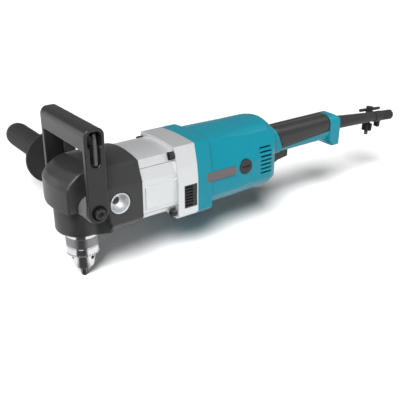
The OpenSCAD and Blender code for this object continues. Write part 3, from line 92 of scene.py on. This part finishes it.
# The studio: a floor, a sun, lamps as (name, place, side in metres, watts) and a camera
FLOOR_HALF, FLOOR_POINTS, FLOOR_GLOW = 6.0, 7, 0.02
SUN_STRENGTH, SUN_DEGREES, SUN_WAY = 5.15, 26, (0.66, 0.67, -1.0)
LAMPS = (
    ("edge_lamp", (-0.9, -0.3, 0.5), 0.4, 0.6),
    ("rim_lamp", (-0.7, 0.85, 0.4), 0.4, 1.3),
    ("side_lamp", (0.98, -0.43, 0.9), 0.4, 1.6),
)
LAMPS_AIM = (0.2, 0.05, 0.09)
# The world: its light on the object, what reflections see behind and in front, and the front's way
WORLD_FILL, WALL_DIM, WALL_BRIGHT = 0.03, 0.272, 0.8
BRIGHT_SIDE = (-0.35, -0.75, 0.55)
# The camera's place, two of its axes, its lens and sensor, and the nearest it sees in metres
EYE = (-0.3180, -0.6844, 0.4393)
EYE_RIGHT, EYE_AHEAD = (0.8093, -0.5874, 0.0), (0.5344, 0.7363, -0.4150)
LENS_MM, SENSOR_MM, CLIP_START = 61.13, 36, 0.01


def linear(red, green, blue):
    """A screen colour from 0 to 255 as the linear colour of a shader. With c as a value over 255,
    it is ((c + 0.055) / 1.055) ** 2.4, or c / 12.92 for the darkest."""
    values = []
    for part in (red, green, blue):
        c = part / 255
        values.append(c / 12.92 if c <= 0.04045 else ((c + 0.055) / 1.055) ** 2.4)
    return (*values, 1.0)


def shade(colour, times, lift=0.0):
    """A colour made lighter or darker: each part times a factor, plus a lift, and at most 1."""
    return tuple(min(1, part * times + lift) for part in colour[:3]) + (1.0,)


# Shader maths


class Wire:
    """An output socket or a number that can be added, multiplied and compared in an expression."""

    def __init__(self, board, value):
        self.board = board
        self.value = value

    def _math(self, operation, *others):
        values = [self.value] + [o.value if isinstance(o, Wire) else o for o in others]
        return self.board.node("ShaderNodeMath", {"operation": operation}, dict(enumerate(values)))

    def __add__(self, other):
        return self._math("ADD", other)

    def __mul__(self, other):
        return self._math("MULTIPLY", other)

    def __sub__(self, other):
        return self._math("SUBTRACT", other)

    def __rsub__(self, other):
        return Wire(self.board, other)._math("SUBTRACT", self)

    def __gt__(self, other):
        return self._math("GREATER_THAN", other)

    def __lt__(self, other):
        return self._math("LESS_THAN", other)

    def sine(self):
        return self._math("SINE")

    def size(self):
        return self._math("ABSOLUTE")

    def power(self, exponent):
        return self._math("POWER", exponent)

    def most(self, other):
        return self._math("MAXIMUM", other)

    def step(self, low, high):
        """0 below low, 1 above high and a smooth rise between them."""
        return self.board.node(
            "ShaderNodeMapRange",
            {"interpolation_type": "SMOOTHSTEP"},
            {"Value": self.value, "From Min": low, "From Max": high},
        )


class Board:
    """The node tree of one finish, read on Object coordinates, or of a world that is given."""

    def __init__(self, name, world=None):
        self.owner = world or bpy.data.materials.new(name)
        self.owner.use_nodes = True
        self.tree = self.owner.node_tree
        self.tree.nodes.clear()
        self.place = self.node("ShaderNodeTexCoord", output="Object")

    def node(self, kind, settings=None, inputs=None, output=0):
        """A new node with its settings and inputs; gives the output asked for."""
        made = self.tree.nodes.new(kind)
        for key, value in (settings or {}).items():
            setattr(made, key, value)
        for key, value in (inputs or {}).items():
            value = value.value if isinstance(value, Wire) else value
            if isinstance(value, bpy.types.NodeSocket):
                self.tree.links.new(value, made.inputs[key])
            else:
                made.inputs[key].default_value = value
        return Wire(self, made.outputs[output] if made.outputs else None)

    def axes(self):
        """The Object coordinates x, y and z."""
        split = self.tree.nodes.new("ShaderNodeSeparateXYZ")
        self.tree.links.new(self.place.value, split.inputs[0])
        return [Wire(self, socket) for socket in split.outputs]

    def rays(self):
        """Whether a ray comes from the camera, off a glossy surface or through glass."""
        path = self.tree.nodes.new("ShaderNodeLightPath")
        names = ("Is Camera Ray", "Is Glossy Ray", "Is Transmission Ray")
        return [Wire(self, path.outputs[name]) for name in names]

    def noise(self, scale, detail=2.0, stretch=None):
        place = self.place
        if stretch:
            place = self.node("ShaderNodeMapping", inputs={"Vector": place, "Scale": stretch})
        return self.node(
            "ShaderNodeTexNoise", inputs={"Vector": place, "Scale": scale, "Detail": detail}
        )

    def cells(self, scale):
        return self.node("ShaderNodeTexVoronoi", inputs={"Vector": self.place, "Scale": scale})

    def blend(self, factor, first, second):
        """A colour between two colours."""
        return self.node(
            "ShaderNodeMix",
            {"data_type": "RGBA"},
            {"Factor": factor, 6: first, 7: second},
            output=2,
        )

    def bump(self, height, depth, under=None):
        inputs = {"Height": height, "Distance": depth, "Strength": 1.0}
        if under is not None:
            inputs["Normal"] = under
        return self.node("ShaderNodeBump", inputs=inputs)

    def soft_edges(self, radius):
        """A normal that rounds the edges of the CAD solids by a radius in millimetres."""
        return self.node("ShaderNodeBevel", {"samples": 6}, {"Radius": radius * MM})

    def finish(self, colour, roughness, normal=None, metallic=0.0, **plain):
        inputs = {"Base Color": colour, "Roughness": roughness, "Metallic": metallic}
        if normal is not None:
            inputs["Normal"] = normal
        for key, value in plain.items():
            inputs[key.replace("_", " ").title().replace("Ior", "IOR")] = value
        shader = self.node("ShaderNodeBsdfPrincipled", inputs=inputs)
        self.node("ShaderNodeOutputMaterial", inputs={"Surface": shader})
        return self.owner


# Finishes


def moulded(name, colour, rough=0.42, grain=0.05, dust=0.08, edge=0.8, shine=0.4):
    """Moulded plastic: a spark-eroded grain, and patches that are slightly dustier and rougher."""
    board = Board(name)
    patch = board.noise(38, 3)
    fine = board.noise(2600, 1)
    tone = board.blend(patch * dust * 2, colour, shade(colour, 1.25, 0.004))
    roughness = patch * 0.12 + fine * 0.06 + (rough - 0.09)
    normal = board.bump(fine, grain * MM, under=board.soft_edges(edge))
    return board.finish(tone, roughness, normal, specular_ior_level=shine)


def blasted_alloy(name, colour, painted=None, creases=()):
    """Die-cast alloy, blasted matt: a salt-and-pepper sparkle over a soft orange peel. Where
    painted gives (x, z, radius, y), the boss within that radius and beyond that y is grey. At the
    heights in creases, painted shade draws a thin dark line along the side walls ahead of the
    flange."""
    board = Board(name)
    peel = board.noise(420, 2)
    spark = board.noise(3200, 2)
    tone = board.blend(peel * 0.5 + spark * 0.35, colour, shade(colour, 0.86))
    roughness = spark * 0.22 + 0.36
    metal = METAL
    x, y, z = board.axes()
    for height in creases:
        wall = (y.size() > WALL_Y) * (x < FLANGE_X)
        # Painted shade: a thin dark line along each crease of the side walls
        crease_shade = (1.0 - (z - height).size().step(0.1 * MM, 0.7 * MM)) * wall
        tone = board.blend(crease_shade * 0.75, tone, shade(colour, 0.2))
    if painted:
        px, pz, radius, side = painted
        reach = ((x - px) * (x - px) + (z - pz) * (z - pz)).power(0.5)
        inside = (reach < radius) * (y.size() > side)
        tone = board.blend(inside, tone, linear(92, 92, 92))
        metal = (1.0 - inside) * METAL
    fine = board.bump(spark, 0.05 * MM, under=board.soft_edges(1.2))
    return board.finish(tone, roughness, board.bump(peel, 0.06 * MM, under=fine), metallic=metal)


def ground_steel(name, colour, along="X"):
    """Ground steel: fine lines from a noise that is drawn out across the named axis."""
    board = Board(name)
    stretch = {"X": (1, 0.04, 0.04), "Z": (0.04, 0.04, 1)}[along]
    lines = board.noise(2400, 2, stretch)
    tone = board.blend(lines, colour, shade(colour, 0.8))
    normal = board.bump(lines, 0.015 * MM)
    return board.finish(tone, lines * 0.14 + 0.22, normal, metallic=1.0)


def blackened(name):
    """Oil-blackened steel: near black with browner, rubbed patches."""
    board = Board(name)
    rub = board.noise(260, 4)
    tone = board.blend(rub.step(0.45, 0.75), linear(40, 40, 41), linear(74, 72, 70))
    return board.finish(tone, rub * 0.2 + 0.3, board.bump(rub, 0.03 * MM), metallic=0.55)


def soft_rubber(name, colour, pitch=900, rough=0.5, shine=0.3, edge=0.8):
    """Overmoulded rubber: a pebbled skin from rounded cells, with a dry sheen."""
    board = Board(name)
    pebble = board.cells(pitch)
    patch = board.noise(45, 3)
    tone = board.blend(patch * 0.5 + pebble * 0.2, colour, shade(colour, 1.3, 0.006))
    normal = board.bump(pebble, 0.07 * MM, under=board.soft_edges(edge))
    roughness = patch * 0.12 + rough
    return board.finish(tone, roughness, normal, sheen_weight=0.04, specular_ior_level=shine)


def ribbed_rubber(name, colour, box):
    """Rubber of the side grip with painted shade in the grooves: darker as the distance from the
    grip's axis falls from 0.3 to 0.9 mm under its greatest radius, and plain over the domed end."""
    board = Board(name)
    x, y, z = board.axes()
    low, high = box
    across, up = (low[0] + high[0]) / 2, (low[2] + high[2]) / 2
    reach = ((x - across) * (x - across) + (z - up) * (z - up)).power(0.5)
    top = (high[0] - low[0]) / 2
    rib = reach.step(top - 0.9 * MM, top - 0.3 * MM).most(y > high[1] - GRIP_DOME)
    grain = board.noise(900, 2)
    # Painted shade: darker down in the grooves between the ribs
    tone = board.blend(rib, shade(colour, 0.3), colour)
    roughness = grain * 0.15 + 0.5
    return board.finish(tone, roughness, board.bump(grain, 0.04 * MM), specular_ior_level=0.3)


def wound_copper(name):
    """Copper and brass with the fine lines of wound wire."""
    board = Board(name)
    _, y, z = board.axes()
    turns = ((y + z) * 5200).sine() * 0.5 + 0.5
    tone = board.blend(turns, linear(150, 84, 48), linear(206, 132, 84))
    return board.finish(tone, turns * 0.1 + 0.28, board.bump(turns, 0.1 * MM), metallic=1.0)


def pressed_carbon(name):
    """Pressed carbon: dark grey with a graphite glint."""
    board = Board(name)
    dust = board.noise(3000, 3)
    tone = board.blend(dust, linear(36, 36, 38), linear(66, 66, 69))
    return board.finish(tone, dust * 0.2 + 0.4, board.bump(dust, 0.02 * MM), metallic=0.25)


def chuck_chrome(name, tone=0.74):
    """Bright plating with a faint smear, over very fine turning lines."""
    board = Board(name)
    smear = board.noise(300, 3)
    lines = board.noise(2600, 2, (0.05, 0.05, 1))
    worn = tone * 0.8
    tone = board.blend(smear, (tone, tone, tone * 1.02, 1), (worn, worn, worn * 1.02, 1))
    normal = board.bump(lines, 0.004 * MM, under=board.soft_edges(0.4))
    return board.finish(tone, smear * 0.08 + lines * 0.05 + 0.08, normal, metallic=1.0)


def knurl_steel(name):
    """Knurled plating, near black between the points and grey on them."""
    board = Board(name)
    x, y, _ = board.axes()
    point = (x * x + y * y).power(0.5).step(KNURL_R, KNURL_R + KNURL_DEEP)
    grime = board.noise(700, 3)
    tone = board.blend(point, (0.05, 0.05, 0.052, 1), (0.42, 0.42, 0.44, 1))
    return board.finish(tone, grime * 0.15 + 0.22, board.bump(grime, 0.01 * MM), metallic=1.0)


def floor_finish(name):
    """Plain white floor: matt, lit like the object, with a little light of its own for the camera,
    for reflections and through glass. It holds a painted reflection: bright metal sees a dark
    patch of it between the chuck and the camera, a wedge that grows half as wide each way as it is
    long."""
    board = Board(name)
    grain = board.noise(90, 2)
    tone = board.blend(grain, (0.90, 0.90, 0.90, 1), (0.885, 0.885, 0.885, 1))
    matt = board.node("ShaderNodeBsdfDiffuse", inputs={"Color": tone})
    seen, glossy, through = board.rays()
    visible = seen.most(glossy).most(through)
    glow = board.node("ShaderNodeEmission", inputs={"Strength": visible * FLOOR_GLOW})
    both = board.node("ShaderNodeAddShader", inputs={0: matt, 1: glow})
    x, y, _ = board.axes()
    # The level direction from the camera to the chuck
    lean_x, lean_y = 0.58, 0.81
    ahead = x * -lean_x + y * -lean_y
    across = (x * lean_y - y * lean_x).size() - ahead * 0.5
    # Painted reflection: a dark patch of floor that only glossy rays see
    patch = ahead.step(-20 * MM, 10 * MM) * (1.0 - across.step(0.0, 30 * MM)) * glossy
    dark_reflection = board.node("ShaderNodeBsdfDiffuse", inputs={"Color": (0.05, 0.05, 0.05, 1)})
    floor = board.node("ShaderNodeMixShader", inputs={0: patch, 1: both, 2: dark_reflection})
    board.node("ShaderNodeOutputMaterial", inputs={"Surface": floor})
    return board.owner


# Surfaces from arrays


def surface(name, points, close_u=False, close_v=False, caps=False):
    """A mesh over a grid of points: point (i, j) joins (i + 1, j) and (i, j + 1), and an end
    ring may be closed by a fan to its middle."""
    rows, cols = points.shape[:2]
    index = np.arange(rows * cols).reshape(rows, cols)
    across = index if not close_u else np.vstack([index, index[:1]])
    whole = across if not close_v else np.hstack([across, across[:, :1]])
    quads = np.stack([whole[:-1, :-1], whole[1:, :-1], whole[1:, 1:], whole[:-1, 1:]], -1)
    faces = quads.reshape(-1, 4).tolist()
    vertices = points.reshape(-1, 3)
    if caps:
        vertices = np.vstack([vertices, points[0].mean(0), points[-1].mean(0)])
        ring = np.arange(cols)
        after = np.roll(ring, -1)
        start, end = rows * cols, rows * cols + 1
        faces += np.stack([np.full(cols, start), ring, after], -1).tolist()
        last = (rows - 1) * cols
        faces += np.stack([np.full(cols, end), after + last, ring + last], -1).tolist()
    mesh = bpy.data.meshes.new(name)
    mesh.from_pydata(vertices.tolist(), [], faces)
    mesh.validate()
    piece = bpy.data.objects.new(name, mesh)
    bpy.context.scene.collection.objects.link(piece)
    face_outwards(mesh)
    mesh.shade_smooth()
    return piece


def face_outwards(mesh):
    """Turns the faces of a closed mesh outwards: its signed volume, a sixth of the sum of the
    triple products of the corners of its triangles, has to be above nought."""
    mesh.calc_loop_triangles()
    corners = np.zeros(len(mesh.loop_triangles) * 3, np.int32)
    mesh.loop_triangles.foreach_get("vertices", corners)
    places = np.zeros(len(mesh.vertices) * 3)
    mesh.vertices.foreach_get("co", places)
    a, b, c = places.reshape(-1, 3)[corners.reshape(-1, 3)].transpose(1, 0, 2)
    if np.einsum("ij,ij->", a, np.cross(b, c)) < 0:
        mesh.flip_normals()


def sharpen(piece, degrees):
    """Keeps edges sharper than an angle crisp under smooth shading."""
    piece.data.set_sharp_from_angle(angle=math.radians(degrees))
    return piece


def dress(piece, finish, body):
    """Gives a new piece its finish, body and material slot."""
    piece.data.materials.clear()
    piece.data.materials.append(finish)
    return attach(piece, body)


def finish_nodes(finish, *names):
    """Puts one finish on CAD nodes."""
    for name in names:
        for place in NODES[name].material_slots:
            place.material = finish


# Shapes of the new pieces


def rounded_plate(name, centre, half_x, half_z, thick, corner):
    """A thin plate on a side wall. Its outline is a rectangle whose corners are quarter circles of
    the radius corner. Each ring of its face is the outline times an inset: the first rings are
    flat, the next ones round the edge as a quarter ellipse, and the last drops to the wall."""
    turn = np.linspace(0, 2 * np.pi, 64, endpoint=False)
    c, s = np.cos(turn), np.sin(turn)
    outline = np.stack(
        [
            np.sign(c) * (half_x - corner) + corner * c,
            np.sign(s) * (half_z - corner) + corner * s,
        ],
        -1,
    )
    flat = np.array([0.3, 0.7, 0.95])
    rim, drop = 0.02, 0.35 * MM
    edge = np.linspace(0, np.pi / 2, 6)
    inset = np.concatenate([flat, 1 - rim * (1 - np.sin(edge)), [1.0]])
    proud = np.concatenate([np.full(len(flat), thick), thick - drop * (1 - np.cos(edge)), [0.0]])
    points = np.zeros((len(inset), len(turn), 3))
    points[..., 0] = centre[0] + inset[:, None] * outline[:, 0]
    points[..., 2] = centre[2] + inset[:, None] * outline[:, 1]
    points[..., 1] = centre[1] - proud[:, None]
    return surface(name, points, close_v=True, caps=True)


def knurled_band(name, low, high, around=64, pitch=1.9 * MM, wall=0.6 * MM):
    """The grip band of the chuck: radius = KNURL_R + KNURL_DEEP * points, where points is half of
    1 + sin(around * turn + climb) * sin(around * turn - climb), climb is the height times a full
    turn a pitch, and points fades to nought over the first and last half millimetre. The inner
    face lies a wall inside KNURL_R."""
    per_point, per_row = 6, 7
    turn = np.linspace(0, 2 * np.pi, around * per_point, endpoint=False)
    height = np.linspace(low, high, int((high - low) / pitch * per_row))
    climb = (height - low)[:, None] * 2 * np.pi / pitch
    points = 0.5 + 0.5 * np.sin(around * turn + climb) * np.sin(around * turn - climb)
    fade = np.clip(np.minimum(height - low, high - height) / (0.5 * MM), 0, 1)[:, None]
    radius = KNURL_R + KNURL_DEEP * points * fade
    level = np.broadcast_to(height[:, None], radius.shape)
    outer = np.stack([radius * np.cos(turn), radius * np.sin(turn), level], -1)
    inner = outer[[-1, 0]].copy()
    inner[..., :2] *= 1 - wall / KNURL_R
    return surface(name, np.concatenate([outer, inner]), close_u=True, close_v=True)


def softened(node, name, voxel, rounds):
    """A copy of a CAD solid with rounded edges: it is cut into cubes of the size voxel, and then
    each point moves half way to the middle of its neighbours, as many times as rounds says. The
    points are then held inside the box of the solid."""
    mesh = NODES[node].data.copy()
    form = bmesh.new()
    form.from_mesh(mesh)
    bmesh.ops.remove_doubles(form, verts=form.verts, dist=1e-6)
    form.to_mesh(mesh)
    form.free()
    draft = bpy.data.objects.new(name, mesh)
    bpy.context.scene.collection.objects.link(draft)
    cubes = draft.modifiers.new("cubes", "REMESH")
    cubes.mode = "VOXEL"
    cubes.voxel_size = voxel
    cubes.use_smooth_shade = True
    smooth = draft.modifiers.new("smooth", "SMOOTH")
    smooth.factor = 0.5
    smooth.iterations = rounds
    seen = draft.evaluated_get(bpy.context.evaluated_depsgraph_get())
    final = bpy.data.meshes.new_from_object(seen)
    low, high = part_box(node)
    places = np.zeros(len(final.vertices) * 3)
    final.vertices.foreach_get("co", places)
    inside = np.clip(places.reshape(-1, 3), np.array(low) + 1e-6, np.array(high) - 1e-6)
    final.vertices.foreach_set("co", inside.ravel())
    draft.modifiers.clear()
    draft.data = final
    final.shade_smooth()
    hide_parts(node)
    return draft


# Studio


def make_floor():
    """A level square grid at height 0."""
    span = np.linspace(-FLOOR_HALF, FLOOR_HALF, FLOOR_POINTS)
    height = np.zeros((FLOOR_POINTS, FLOOR_POINTS))
    grid = np.stack([*np.meshgrid(span, span, indexing="ij"), height], -1)
    floor = surface("studio_floor", grid)
    floor.data.materials.append(floor_finish("studio_floor"))


def make_world(level):
    """Gives the object a faint fill light. The camera sees plain white, and reflections see a pale
    grey in front and overhead and a dark grey behind."""
    board = Board("studio", bpy.data.worlds.new("studio"))
    seen, glossy, through = board.rays()
    around = board.node("ShaderNodeTexCoord", output="Generated")
    facing = board.node(
        "ShaderNodeVectorMath",
        {"operation": "DOT_PRODUCT"},
        {0: around, 1: BRIGHT_SIDE},
        output="Value",
    )
    wall = board.node(
        "ShaderNodeMapRange",
        {"interpolation_type": "SMOOTHSTEP"},
        {
            "Value": facing,
            "From Min": -0.55,
            "From Max": 0.35,
            "To Min": WALL_DIM,
            "To Max": WALL_BRIGHT,
        },
    )
    fill = board.node("ShaderNodeBackground", inputs={"Strength": WORLD_FILL * level})
    plain = board.node(
        "ShaderNodeBackground", inputs={"Color": (1, 1, 1, 1), "Strength": seen.most(wall)}
    )
    visible = seen.most(glossy).most(through)
    both = board.node("ShaderNodeMixShader", inputs={0: visible, 1: fill, 2: plain})
    board.node("ShaderNodeOutputWorld", inputs={"Surface": both})
    return board.owner


def aimed(name, data, way, collection):
    """An object whose -Z axis points along a way."""
    holder = bpy.data.objects.new(name, data)
    holder.rotation_euler = Vector(way).to_track_quat("-Z", "Y").to_euler()
    collection.objects.link(holder)
    return holder


def make_lamps(collection, level):
    """A wide sun for the soft shadow, and small lamps for the edges."""
    sun = bpy.data.lights.new("key_sun", "SUN")
    sun.energy = SUN_STRENGTH * level
    sun.angle = math.radians(SUN_DEGREES)
    aimed("key_sun", sun, SUN_WAY, collection)
    for name, place, size, power in LAMPS:
        lamp = bpy.data.lights.new(name, "AREA")
        lamp.size = size
        lamp.energy = power * level
        way = Vector(LAMPS_AIM) - Vector(place)
        aimed(name, lamp, way, collection).location = place


def make_camera(collection):
    """The camera of the photograph, from its place and two of its axes."""
    eye = bpy.data.cameras.new("camera")
    eye.lens = LENS_MM
    eye.sensor_width = SENSOR_MM
    eye.clip_start = CLIP_START
    holder = bpy.data.objects.new("camera", eye)
    right, ahead = Vector(EYE_RIGHT).normalized(), Vector(EYE_AHEAD).normalized()
    turn = Matrix((right, right.cross(ahead), -ahead)).transposed()
    holder.matrix_world = Matrix.Translation(EYE) @ turn.to_4x4()
    collection.objects.link(holder)
    return holder


# Settings


def colour_setting(name, description, default):
    """A colour in the panel."""
    return bpy.props.FloatVectorProperty(
        name=name, description=description, subtype="COLOR", size=4, min=0, max=1, default=default
    )


class DrillColours(bpy.types.PropertyGroup):
    """Colours and the studio's level"""

    shell: colour_setting("Shell", "Colour of the motor housing and handle", linear(0, 119, 136))
    cover: colour_setting("Cover", "Colour of the cover over the gear head", linear(32, 32, 33))
    alloy: colour_setting("Castings", "Colour of the bare castings", linear(214, 216, 217))
    grip: colour_setting("Soft grip", "Colour of the soft pads", linear(14, 15, 14))
    light: bpy.props.FloatProperty(
        name="Light", description="Level of the studio lamps", default=1.0, min=0.1, max=3.0
    )


class DRILL_OT_shells(bpy.types.Operator):
    """Finish the cover, the castings, the motor housing and the handle"""

    bl_idname = "drill.shells"
    bl_label = "Housings"

    def execute(self, context):
        settings = context.scene.drill_colours
        cover = moulded(
            "black_cover", tuple(settings.cover), rough=0.42, grain=0.06, edge=3, shine=0.5
        )
        finish_nodes(cover, "head_cover")
        soft_cover = softened("head_cover", "soft_head_cover", voxel=1.0 * MM, rounds=6)
        dress(soft_cover, cover, "housing")
        trim = moulded("black_trim", linear(30, 30, 31), rough=0.5)
        finish_nodes(
            trim, "louvre_near", "louvre_far", "baffle", "fan", "brush_caps", "switch_block",
            "cord_clamp",
        )
        creases = tuple(AXIS + rise for rise in CREASE_HEIGHTS)
        alloy = blasted_alloy("cast_alloy", tuple(settings.alloy), creases=creases)
        finish_nodes(alloy, "gear_housing", "bearing_plate")
        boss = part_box("bail_washers")
        place = ((boss[0][0] + boss[1][0]) / 2, (boss[0][2] + boss[1][2]) / 2)
        painted = (*place, BOSS_R, BOSS_Y)
        head = blasted_alloy("painted_alloy", tuple(settings.alloy), painted)
        finish_nodes(head, "gear_head")
        shell = moulded(
            "teal_shell", tuple(settings.shell), rough=0.38, grain=0.03, dust=0.04, edge=1.6,
            shine=0.28,
        )
        finish_nodes(shell, "motor_housing", "handle_near", "handle_far")
        pad = soft_rubber("soft_grip", tuple(settings.grip), rough=0.3, shine=0.45, edge=8)
        finish_nodes(pad, "grip_near", "grip_far")
        return {"FINISHED"}


class DRILL_OT_inside(bpy.types.Operator):
    """Finish the gears, bearings, motor and screws"""

    bl_idname = "drill.inside"
    bl_label = "Gears, motor and screws"

    def execute(self, context):
        along = ground_steel("ground_steel", linear(196, 198, 202))
        finish_nodes(
            along, "pinion_shaft", "pinion_bearing_front", "pinion_bearing_rear", "driven_gear",
            "layshaft", "layshaft_gear", "layshaft_bearings", "armature_shaft", "armature_core",
            "motor_bearing_front", "motor_bearing_rear", "stator_core",
        )
        turned = ground_steel("turned_steel", linear(190, 192, 196), "Z")
        finish_nodes(
            turned, "nose_ring", "spindle_bearing_upper", "spindle_bearing_lower", "spindle",
            "bevel_gear",
        )
        finish_nodes(wound_copper("wound_copper"), "commutator", "field_coils", "brush_holders")
        finish_nodes(pressed_carbon("pressed_carbon"), "carbon_brushes")
        black = blackened("black_steel")
        finish_nodes(black, "head_screws", "housing_screws", "handle_screws", "bail_bolts")
        washer = moulded("black_washer", linear(5, 5, 5), rough=0.7, shine=0.1)
        finish_nodes(washer, "bail_washers")
        return {"FINISHED"}


class DRILL_OT_chuck(bpy.types.Operator):
    """Finish the chuck, its jaws and the chuck key"""

    bl_idname = "drill.chuck"
    bl_label = "Chuck and key"

    def execute(self, context):
        finish_nodes(chuck_chrome("chuck_chrome"), "chuck_body", "chuck_sleeve")
        jaws = chuck_chrome("jaw_steel", tone=0.42)
        finish_nodes(jaws, "chuck_jaw_1", "chuck_jaw_2", "chuck_jaw_3")
        finish_nodes(blackened("key_steel"), "chuck_key", "key_bar")
        low, high = SLEEVE_TOP + BAND_OVER_SLEEVE, CHUCK_TOP - BAND_UNDER_TOP
        band = knurled_band("chuck_knurl", low, high)
        dress(band, knurl_steel("knurl_steel"), "spindle")
        return {"FINISHED"}


class DRILL_OT_handles(bpy.types.Operator):
    """Finish the bail handle, the wrench, the side grip, the trigger and the cord guard"""

    bl_idname = "drill.handles"
    bl_label = "Handles and controls"

    def execute(self, context):
        bail = moulded("bail_plastic", linear(28, 28, 29), rough=0.3, edge=1.2)
        finish_nodes(bail, "bail_handle")
        soft_bail = softened("bail_handle", "soft_bail_handle", voxel=0.8 * MM, rounds=3)
        dress(soft_bail, bail, "bail")
        finish_nodes(
            moulded("control_plastic", linear(28, 28, 29), rough=0.4), "trigger", "lock_button",
            "reversing_lever",
        )
        grip = ribbed_rubber("grip_rubber", linear(40, 40, 40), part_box("side_grip"))
        finish_nodes(grip, "side_grip")
        disc = soft_rubber("disc_rubber", linear(22, 22, 22), pitch=700)
        finish_nodes(disc, "side_grip_disc")
        finish_nodes(moulded("stem_plastic", linear(52, 52, 53), rough=0.45), "side_grip_stem")
        guard = soft_rubber("guard_rubber", linear(24, 25, 25), pitch=800)
        finish_nodes(guard, "cord_guard", "key_holder")
        finish_nodes(ground_steel("wrench_steel", linear(96, 97, 99)), "hex_wrench")
        return {"FINISHED"}


class DRILL_OT_badge(bpy.types.Operator):
    """Make the bare badge plate on the near side of the motor housing"""

    bl_idname = "drill.badge"
    bl_label = "Bare badge plate"

    def execute(self, context):
        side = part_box("motor_housing")[0][1] + BADGE_SUNK
        centre = (JOINT_X + BADGE_BACK, side, AXIS - BADGE_DROP)
        plate = rounded_plate(
            "badge_plate", centre, BADGE_HALF_X, BADGE_HALF_Z, BADGE_THICK, BADGE_CORNER
        )
        finish = moulded("badge_plate", linear(88, 80, 82), rough=0.34, grain=0.02, edge=0.3)
        dress(sharpen(plate, degrees=40), finish, "housing")
        return {"FINISHED"}


class DRILL_OT_stage(bpy.types.Operator):
    """Make the floor, the lamps, the world and the camera"""

    bl_idname = "drill.stage"
    bl_label = "Studio"

    def execute(self, context):
        level = context.scene.drill_colours.light
        make_floor()
        context.scene.world = make_world(level)
        make_lamps(context.scene.collection, level)
        context.scene.camera = make_camera(context.scene.collection)
        context.scene.view_settings.view_transform = "Standard"
        return {"FINISHED"}


OPERATORS = (
    DRILL_OT_shells,
    DRILL_OT_inside,
    DRILL_OT_chuck,
    DRILL_OT_handles,
    DRILL_OT_badge,
    DRILL_OT_stage,
)


class DRILL_PT_looks(bpy.types.Panel):
    """Lists the settings and the pieces"""

    bl_idname = "DRILL_PT_looks"
    bl_label = "Right angle drill"
    bl_space_type = "VIEW_3D"
    bl_region_type = "UI"
    bl_category = "Drill"

    def draw(self, context):
        settings = context.scene.drill_colours
        for name in ("shell", "cover", "alloy", "grip", "light"):
            self.layout.prop(settings, name)
        for operator in OPERATORS:
            self.layout.operator(operator.bl_idname)


CLASSES = (DrillColours, *OPERATORS, DRILL_PT_looks)


def register():
    for kind in CLASSES:
        bpy.utils.register_class(kind)
    bpy.types.Scene.drill_colours = bpy.props.PointerProperty(type=DrillColours)


def unregister():
    del bpy.types.Scene.drill_colours
    for kind in reversed(CLASSES):
        bpy.utils.unregister_class(kind)


def main():
    register()
    for operator in OPERATORS:
        group, name = operator.bl_idname.split(".")
        getattr(getattr(bpy.ops, group), name)()


if __name__ == "__main__":
    main()
